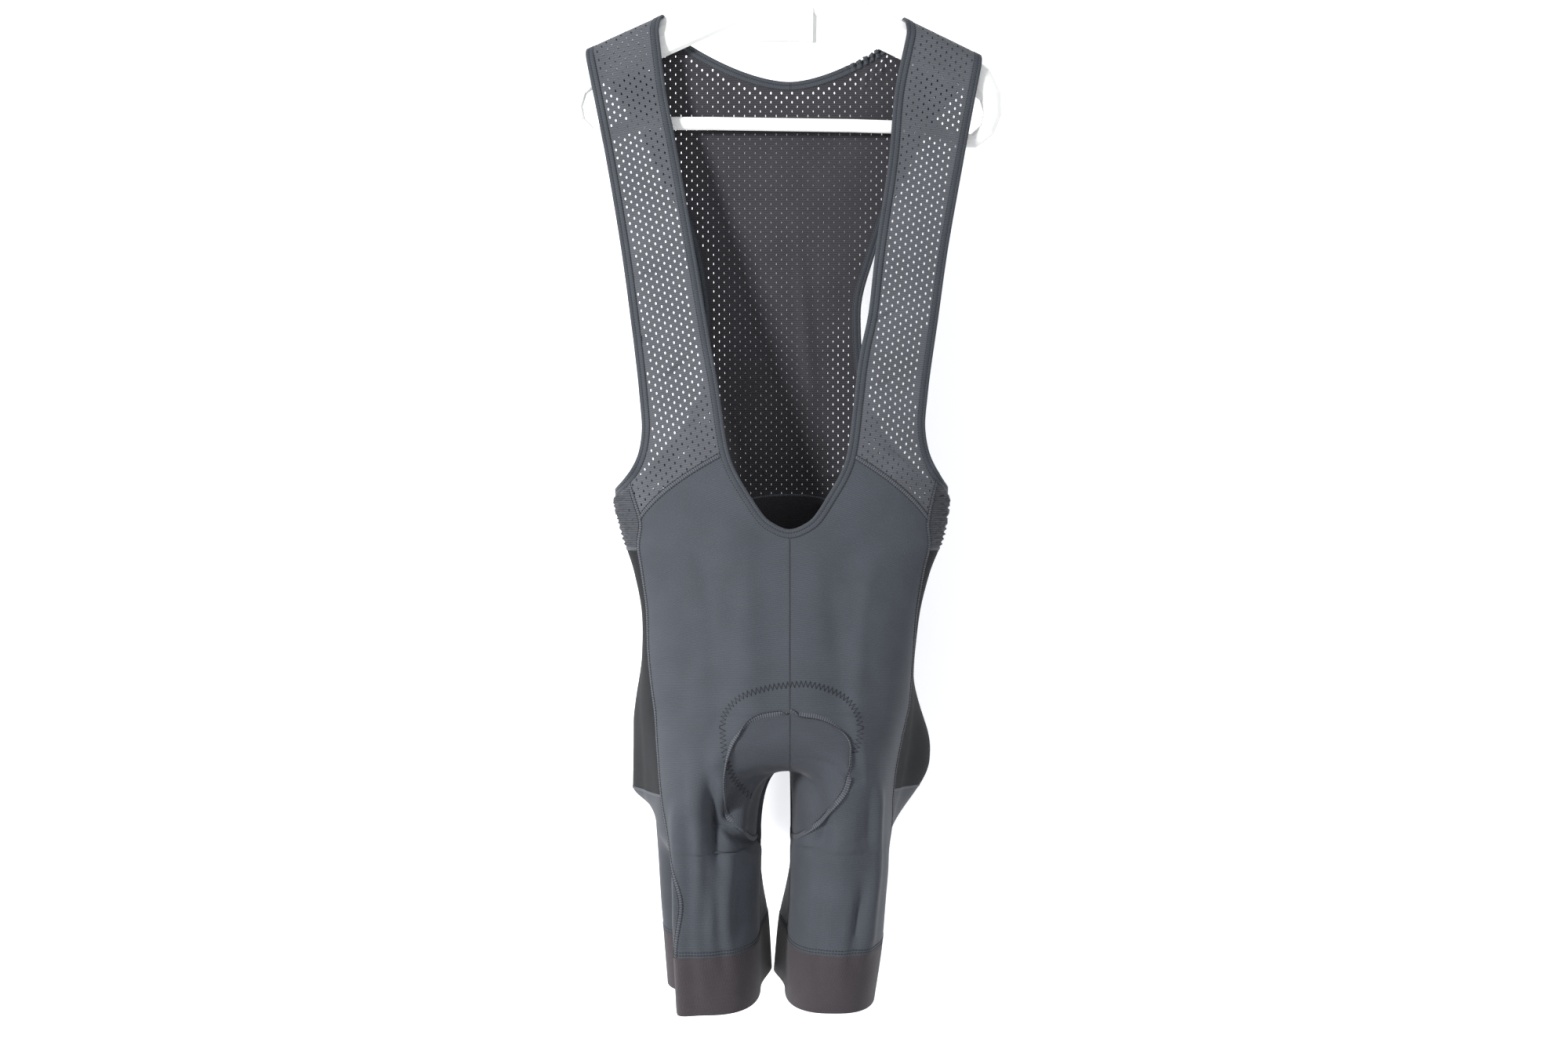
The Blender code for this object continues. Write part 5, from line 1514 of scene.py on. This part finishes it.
class Garment:
    """The bib shorts: their panels, seams and bindings."""

    strap_holes = Holes()
    back_holes = Holes(across=0.0105, down=0.0045, openness=back_openness)

    def __init__(self, shop: Workshop) -> None:
        """Work out the nets of both halves."""
        self.shop = shop
        self.halves = {key: Half(key) for key in SIDES}
        self.straps = {key: half.strap() for key, half in self.halves.items()}
        self.chests = {key: half.part("armhole", "chest", back=False) for key, half in self.halves.items()}
        self.yokes = {key: half.yoke(self.straps[key].points[0]) for key, half in self.halves.items()}
        self.unders = {key: half.part("armhole", "waist", back=True) for key, half in self.halves.items()}
        self.fronts = {key: half.part("chest", "gripper", back=False) for key, half in self.halves.items()}
        self.seats = {key: half.part("waist", "seat", back=True) for key, half in self.halves.items()}
        self.legs = {key: half.part("seat", "gripper", back=True) for key, half in self.halves.items()}
        self.gussets = {key: half.gusset() for key, half in self.halves.items()}
        self.arm_lines = {key: self.rounded_armhole(key) for key in SIDES}

    def net_piece(self, name: str, layout: Layout, holes: Holes, finish: Finish,
                  slot: str) -> bpy.types.Object:
        """Add a perforated panel, cut from its layout."""
        points, faces, flat = layout.pierced(holes)
        piece = self.shop.add(name, points, faces, flat @ holes.turned().T, finish, slot)
        self.shop.thicken(piece, NET_THICK)
        return piece

    def make_straps(self) -> None:
        """Make the perforated straps, over the hanger and down to the chest seam."""
        for key, half in self.halves.items():
            net = self.straps[key].stacked(self.chests[key])
            flat = spread_flat(net, 0)
            for row in range(FOLD_ROWS - 1, -1, -1):
                step = net.points[row] - net.points[row + 1]
                flat[row, :, 0] = flat[row + 1, :, 0] + step[:, 0]
                flat[row, :, 1] = flat[row + 1, :, 1] + np.hypot(step[:, 1], step[:, 2])
            number = numbers_of(net)
            border = (number[0, :-1], number[:-1, -1], number[-1, :0:-1], number[:0:-1, 0])
            layout = Layout.of((net,), (flat,), border)
            holes = replace(self.strap_holes, tilt=STRAP_TILT[key])
            piece = self.net_piece("strap_cloth_" + key, layout, holes, STRAP_NET, "strap_mesh")
            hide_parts("strap_" + key)

    def make_back(self) -> None:
        """Make the perforated back, from the neckline to the waist and round under the arms."""
        nets = [self.yokes["l"], self.yokes["r"], self.unders["l"], self.unders["r"]]
        flats = [spread_flat(net, -1, CENTRE_X) for net in nets]
        starts = np.cumsum([0] + [net.points[..., 0].size for net in nets])
        yoke_l, yoke_r, under_l, under_r = (numbers_of(net, start) for net, start in zip(nets, starts))
        arm = Half.under_columns
        border = (yoke_l[0, ::-1], yoke_l[1:, 0], under_l[0, arm - 1::-1], under_l[1:, 0], under_l[-1, 1:],
                  under_r[-1, -2::-1], under_r[-2::-1, 0], under_r[0, 1:arm + 1], yoke_r[-2::-1, 0],
                  yoke_r[0, 1:-1])
        layout = Layout.of(nets, flats, border)
        piece = self.net_piece("back_cloth", layout, self.back_holes, BACK_NET_SHADED, "back_mesh")
        piece.data.materials.append(self.shop.material(UNDERARM_NET_LIT))
        # Faces under the arms in front take the copy with painted light; the rest keep the copy with painted
        # shade
        for face in piece.data.polygons:
            x, y, z = face.center
            face.material_index = int(abs(x) > UNDERARM_IN_X and y < UNDERARM_BACK_Y and z < UNDERARM_TOP_Z)
        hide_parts("back_mesh")

    def make_panels(self) -> None:
        """Make the smooth knitted panels and the leg bands."""
        for key in SIDES:
            half = self.halves[key]
            front_band = half.part("gripper", "hem", back=False)
            rear_band = half.part("gripper", "hem", back=True)
            band = Net(np.concatenate((front_band.points, rear_band.points[:, 1:]), axis=1), half.side)
            for name, node, net, thickness, finish, slot in (
                ("front_cloth_", "front_", self.fronts[key], KNIT_THICK, FRONT_KNIT, "front_knit"),
                # The seat's colour carries painted shade as well as its own darker tone
                ("seat_cloth_", "seat_", self.seats[key], KNIT_THICK, SEAT_KNIT_AND_SHADE, "seat_knit"),
                ("leg_cloth_", "leg_back_", self.legs[key], KNIT_THICK, LEG_KNIT, "leg_knit"),
                ("gusset_cloth_", "gusset_", self.gussets[key], KNIT_THICK, GUSSET_KNIT, "gusset_knit"),
                ("band_cloth_", "gripper_", band, BAND_THICK, ELASTIC_BAND, "gripper_band"),
            ):
                piece = self.shop.panel(name + key, net, thickness, finish, slot)
                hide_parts(node + key)

    def neck_path(self) -> Path:
        """Return the neck's edge: along the back, over each shoulder and round the front."""
        sides = []
        for key, half in self.halves.items():
            corner = round(Half.back_columns * SHOULDER_SHARE)
            neckline = self.yokes[key].along(0, 1).cut(corner).backwards()
            last = int(np.searchsorted(half.fine_steps("chest", "gripper"), half.step_of("neck")))
            front = self.fronts[key].down(0, 1).cut(0, last + 1)
            strap, chest = (nets[key].down(0, 1) for nets in (self.straps, self.chests))
            sides.append(Path.joined((neckline, strap, chest, front)))
        return Path.joined((sides[0], sides[1].backwards()), closed=True)

    def arm_path(self, key: str) -> Path:
        """Return an armhole's edge: down the strap, under the arm and up the back."""
        under = self.unders[key].along(0, 1).cut(0, Half.under_columns + 1)
        back = self.yokes[key].down(0, 1).backwards()
        return Path.joined((self.straps[key].down(-1, -2), under, back), closed=True)

    def rounded_armhole(self, key: str) -> Path:
        """Return an armhole's edge as one smooth curve, with the cloth moved out to it under the arm."""
        line = self.arm_path(key).even(CELL, ARM_EASING)
        line = line.eased(ARMHOLE_EASE_Z, ARMHOLE_EASE_FADE, ARMHOLE_EASING)
        starts = line.points
        sides = np.roll(starts, -1, axis=0) - starts
        last = Half.under_columns + 1
        for edge in (self.straps[key].points[:, -1], self.chests[key].points[:1, -1],
                     self.unders[key].points[0, :last], self.yokes[key].points[-1:, 0]):
            for number in np.flatnonzero(edge[:, 2] < ARMHOLE_EASE_Z):
                away = edge[number] - starts
                share = np.clip(np.sum(away * sides, axis=1) / np.sum(sides * sides, axis=1), 0.0, 1.0)
                near = starts + share[:, None] * sides
                edge[number] = near[np.argmin(np.linalg.norm(near - edge[number], axis=1))]
        return line

    def make_bindings(self) -> None:
        """Fold a binding over the neck's and the armholes' edges, and stitch it down."""
        neck_line = self.neck_path().even(NECK_CELL, NECK_EASING).ruffled()
        edges = [("neck_binding", neck_line, NECK_BINDING_WIDTH)]
        edges += [("arm_binding_" + key, self.arm_lines[key], ARM_BINDING_WIDTH) for key in SIDES]
        for node, line, width in edges:
            piece = self.shop.sweep(node + "_cloth", line, binding_outline(width), BINDING_KNIT, "binding")
            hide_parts(node)
            rows = [line.shifted(-width * share, face * BINDING_LIFT)
                    for share in BINDING_ROWS for face in (FRONT, BACK)]
            self.shop.stitches(node + "_stitches", rows, BINDING_STITCH, "binding")

    def make_seams(self) -> None:
        """Cover the seams with flat stitching."""
        paths = {name: [] for name in SEAM_WIDTHS}
        centre = []
        for key, half in self.halves.items():
            front, seat, leg = self.fronts[key], self.seats[key], self.legs[key]
            paths["gusset"].append(self.gussets[key].down(-1, -2))
            paths["side"].append(Path.joined((self.chests[key].down(-1, -2), front.down(-1, -2))))
            paths["chest"].append(front.along(0, 1).shifted(CHEST_SEAM_SHIFT, 0.0))
            paths["waist"].append(seat.along(0, 1))
            paths["seat"].append(leg.along(0, 1))
            paths["inseam"].append(half.part("inseam", "gripper", back=False).down(0, 1))
            corner = round(Half.back_columns * SHOULDER_SHARE)
            paths["shoulder"].append(self.yokes[key].along(0, 1).cut(0, corner + 1))
            if key == "l":
                centre.append(half.part("neck", "gusset", back=False).down(0, 1))
                centre.append(half.part("waist", "gusset", back=True).down(-1, -2))
                centre.append(self.gussets[key].down(0, 1))
        for name, lines in paths.items():
            width = SEAM_WIDTHS[name]
            for number, line in enumerate(lines, 1):
                line = line.even(CELL, GUSSET_EASING if name == "gusset" else SEAM_EASING)
                self.shop.sweep(f"{name}_seam_{number}", line, seam_outline(width), SEAM_THREAD, "front_knit")
                if name in EDGED_SEAMS:
                    rows = [line.shifted(side * (width / 2 + EDGING_GAP), EDGING_LIFT) for side in (-1, 1)]
                    self.shop.stitches(f"{name}_edging_{number}", rows, EDGING_STITCH, "front_knit")
        for number, line in enumerate(centre, 1):
            self.shop.sweep(f"centre_seam_{number}", line.even(CELL, SEAM_EASING),
                            seam_outline(CENTRE_SEAM_WIDTH), DARK_THREAD, "front_knit")

    def make_band_stitches(self) -> None:
        """Sew the leg bands on with two rows of stitches above each."""
        for key in SIDES:
            edges = [panel.along(-1, -2) for panel in (self.fronts[key], self.legs[key])]
            lift = KNIT_THICK / 2 + BAND_LIFT
            rows = [edge.shifted(offset, lift) for edge in edges for offset in BAND_ROWS]
            self.shop.stitches("band_stitches_" + key, rows, BAND_STITCH, "leg_knit")

    def make_pad_stitch(self) -> None:
        """Sew the zigzag that holds the pad, on the outside of the front."""
        nets = [self.fronts[key] for key in SIDES] + [self.gussets[key] for key in SIDES]
        points, faces = [], []
        for net in nets:
            faces += quads_of(numbers_of(net, len(points))).tolist()
            points += net.points.reshape(-1, 3).tolist()
        cloth = BVHTree.FromPolygons(points, faces)
        line = np.array([(point.x, PAD_START_Y, point.z) for point in PAD_LINE])
        forward, down = (np.tile(way, (len(line), 1)) for way in ((0.0, -1.0, 0.0), (0.0, 0.0, -1.0)))
        flat = Path(line, forward, down).even(PAD_STEP, PAD_EASING)
        _, across, _ = flat.axes()
        swing = np.where(np.arange(len(across)) % 2 == 0, PAD_SWING, -PAD_SWING)[:, None]
        places, normals = [], []
        for start in flat.points + across * swing:
            hit, normal, _, _ = cloth.ray_cast(Vector(start), Vector((0.0, 1.0, 0.0)))
            if hit is None:
                continue
            places.append(hit)
            normals.append(normal if normal.y < 0 else -normal)
        thread = Path(np.array(places), np.array(normals), np.tile((0.0, 0.0, 1.0), (len(places), 1)))
        along = unit(np.gradient(thread.points, axis=0))
        lifted = thread.points + thread.normals * PAD_LIFT
        thread = Path(lifted, thread.normals, np.cross(along, thread.normals))
        outline = [(PAD_HALF_WIDTH * math.cos(angle), PAD_HALF_HEIGHT * math.sin(angle))
                   for angle in PAD_THREAD_ANGLES]
        self.shop.sweep("pad_zigzag", thread, outline, PAD_THREAD, "front_knit")

    def make_waist_facing(self) -> None:
        """Line the inside of the back below its waist seam with a plain dark band."""
        for key, half in self.halves.items():
            net = half.part("waist", "belly", back=True).raised(-FACING_DEPTH)
            inside = Net(net.points[:, Half.under_columns // 2:], net.facing)
            self.shop.panel("waist_facing_" + key, inside, FACING_THICK, FACING_KNIT, "seat_knit")


def binding_outline(width: float) -> list[tuple[float, float]]:
    """Return the outline of a folded binding: two bands a side with a groove between them."""
    top = [(0.0010, 0.0003), (0.0006, 0.0010), (-width * 0.06, 0.0012), (-width * 0.44, 0.0012),
           (-width * 0.52, 0.0008), (-width * 0.60, 0.00115), (-width * 0.92, 0.0011), (-width, 0.0004)]
    return top + [(across, -up) for across, up in top[::-1]]


def seam_outline(width: float) -> list[tuple[float, float]]:
    """Return the outline of a flat seam: a low band on each face of the cloth."""
    top = [(-width / 2, 0.0003), (-width * 0.4, 0.00085), (-width * 0.12, 0.0010), (0.0, 0.00085),
           (width * 0.12, 0.0010), (width * 0.4, 0.00085), (width / 2, 0.0003)]
    return top + [(across, -up) for across, up in top[::-1]]


@dataclass
class Studio:
    """The plain pale surroundings, the soft light and the camera of the photograph."""

    camera_place: tuple[float, float, float] = (-0.0023, -1.5, -0.609)
    lens: float = 35.0
    sensor_width: float = 36.0
    backdrop_y: float = 0.22
    floor_z: float = -1.75
    sky_colour: str = "#f4f6fa"
    sky_strength: float = 0.62

    def make_camera(self) -> None:
        """Put the camera level in front of the garment."""
        data = bpy.data.cameras.new("camera")
        data.lens = self.lens
        data.sensor_width = self.sensor_width
        camera = bpy.data.objects.new("camera", data)
        camera.location = self.camera_place
        camera.rotation_euler = (math.radians(90), 0.0, 0.0)
        bpy.context.scene.collection.objects.link(camera)
        bpy.context.scene.camera = camera

    def make_light(self, name: str, place: tuple[float, float, float], size: float,
                   watts: float) -> None:
        """Add a soft square light that looks at the garment's middle."""
        data = bpy.data.lights.new(name, "AREA")
        data.size = size
        data.energy = watts
        light = bpy.data.objects.new(name, data)
        light.location = place
        target = Vector((0.0, 0.0, self.camera_place[2]))
        light.rotation_euler = (target - Vector(place)).to_track_quat("-Z", "Y").to_euler()
        bpy.context.scene.collection.objects.link(light)

    def make_plane(self, name: str, corners: Sequence[tuple[float, float, float]], colour: str,
                   glow: float) -> None:
        """Add a pale matt plane to the surroundings, clear when it is seen from behind."""
        mesh = bpy.data.meshes.new(name)
        mesh.from_pydata(corners, [], [(0, 1, 2, 3)])
        material, tree, shader = new_material("pale_matt_" + name, {
            "Base Color": linear(colour),
            "Roughness": 0.9,
            "Emission Color": linear(colour),
            "Emission Strength": glow,
        })
        behind = add_node(tree, "ShaderNodeNewGeometry")
        clear = add_node(tree, "ShaderNodeBsdfTransparent")
        seen = add_node(tree, "ShaderNodeMixShader", None,
                        {0: (behind, "Backfacing"), 1: (shader, "BSDF"), 2: (clear, "BSDF")})
        tree.links.new(seen.outputs[0], tree.nodes["Material Output"].inputs["Surface"])
        mesh.materials.append(material)
        plane = bpy.data.objects.new(name, mesh)
        bpy.context.scene.collection.objects.link(plane)

    def make_surroundings(self) -> None:
        """Add the pale floor and the white wall behind."""
        wide, near, far, low, top = 5.0, -3.0, self.backdrop_y, self.floor_z, 3.0
        self.make_plane("floor", ((-wide, near, low), (wide, near, low), (wide, far, low), (-wide, far, low)),
                        colour="#cfcfd0", glow=0.0)
        self.make_plane("wall", ((-wide, far, low), (wide, far, low), (wide, far, top), (-wide, far, top)),
                        colour="#f4f5f7", glow=0.5)

    def make(self) -> None:
        """Set up the whole studio."""
        scene = bpy.context.scene
        scene.view_settings.view_transform = "Standard"
        scene.world = bpy.data.worlds.new("studio")
        scene.world.use_nodes = True
        sky = scene.world.node_tree.nodes["Background"]
        sky.inputs["Color"].default_value = linear(self.sky_colour)
        sky.inputs["Strength"].default_value = self.sky_strength
        self.make_camera()
        self.make_surroundings()
        self.make_light("key", place=(-1.5, -1.5, -0.10), size=0.4, watts=62.0)
        self.make_light("fill", place=(1.2, -2.0, -0.5), size=1.8, watts=10.0)


def main() -> None:
    """Build the garment and the studio."""
    shop = Workshop()
    garment = Garment(shop)
    garment.make_straps()
    garment.make_back()
    garment.make_panels()
    garment.make_bindings()
    garment.make_seams()
    garment.make_band_stitches()
    garment.make_pad_stitch()
    garment.make_waist_facing()
    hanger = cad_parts["hanger"]
    for slot in hanger.material_slots:
        slot.material = Moulding().make()
    for piece in shop.pieces.values():
        triangles = sum(len(face.vertices) - 2 for face in piece.data.polygons)
        LOG.info("%s: %d triangles", piece.name, triangles)
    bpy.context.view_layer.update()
    Studio().make()


if __name__ == "__main__":
    logging.basicConfig(level=logging.INFO, format="%(message)s")
    main()
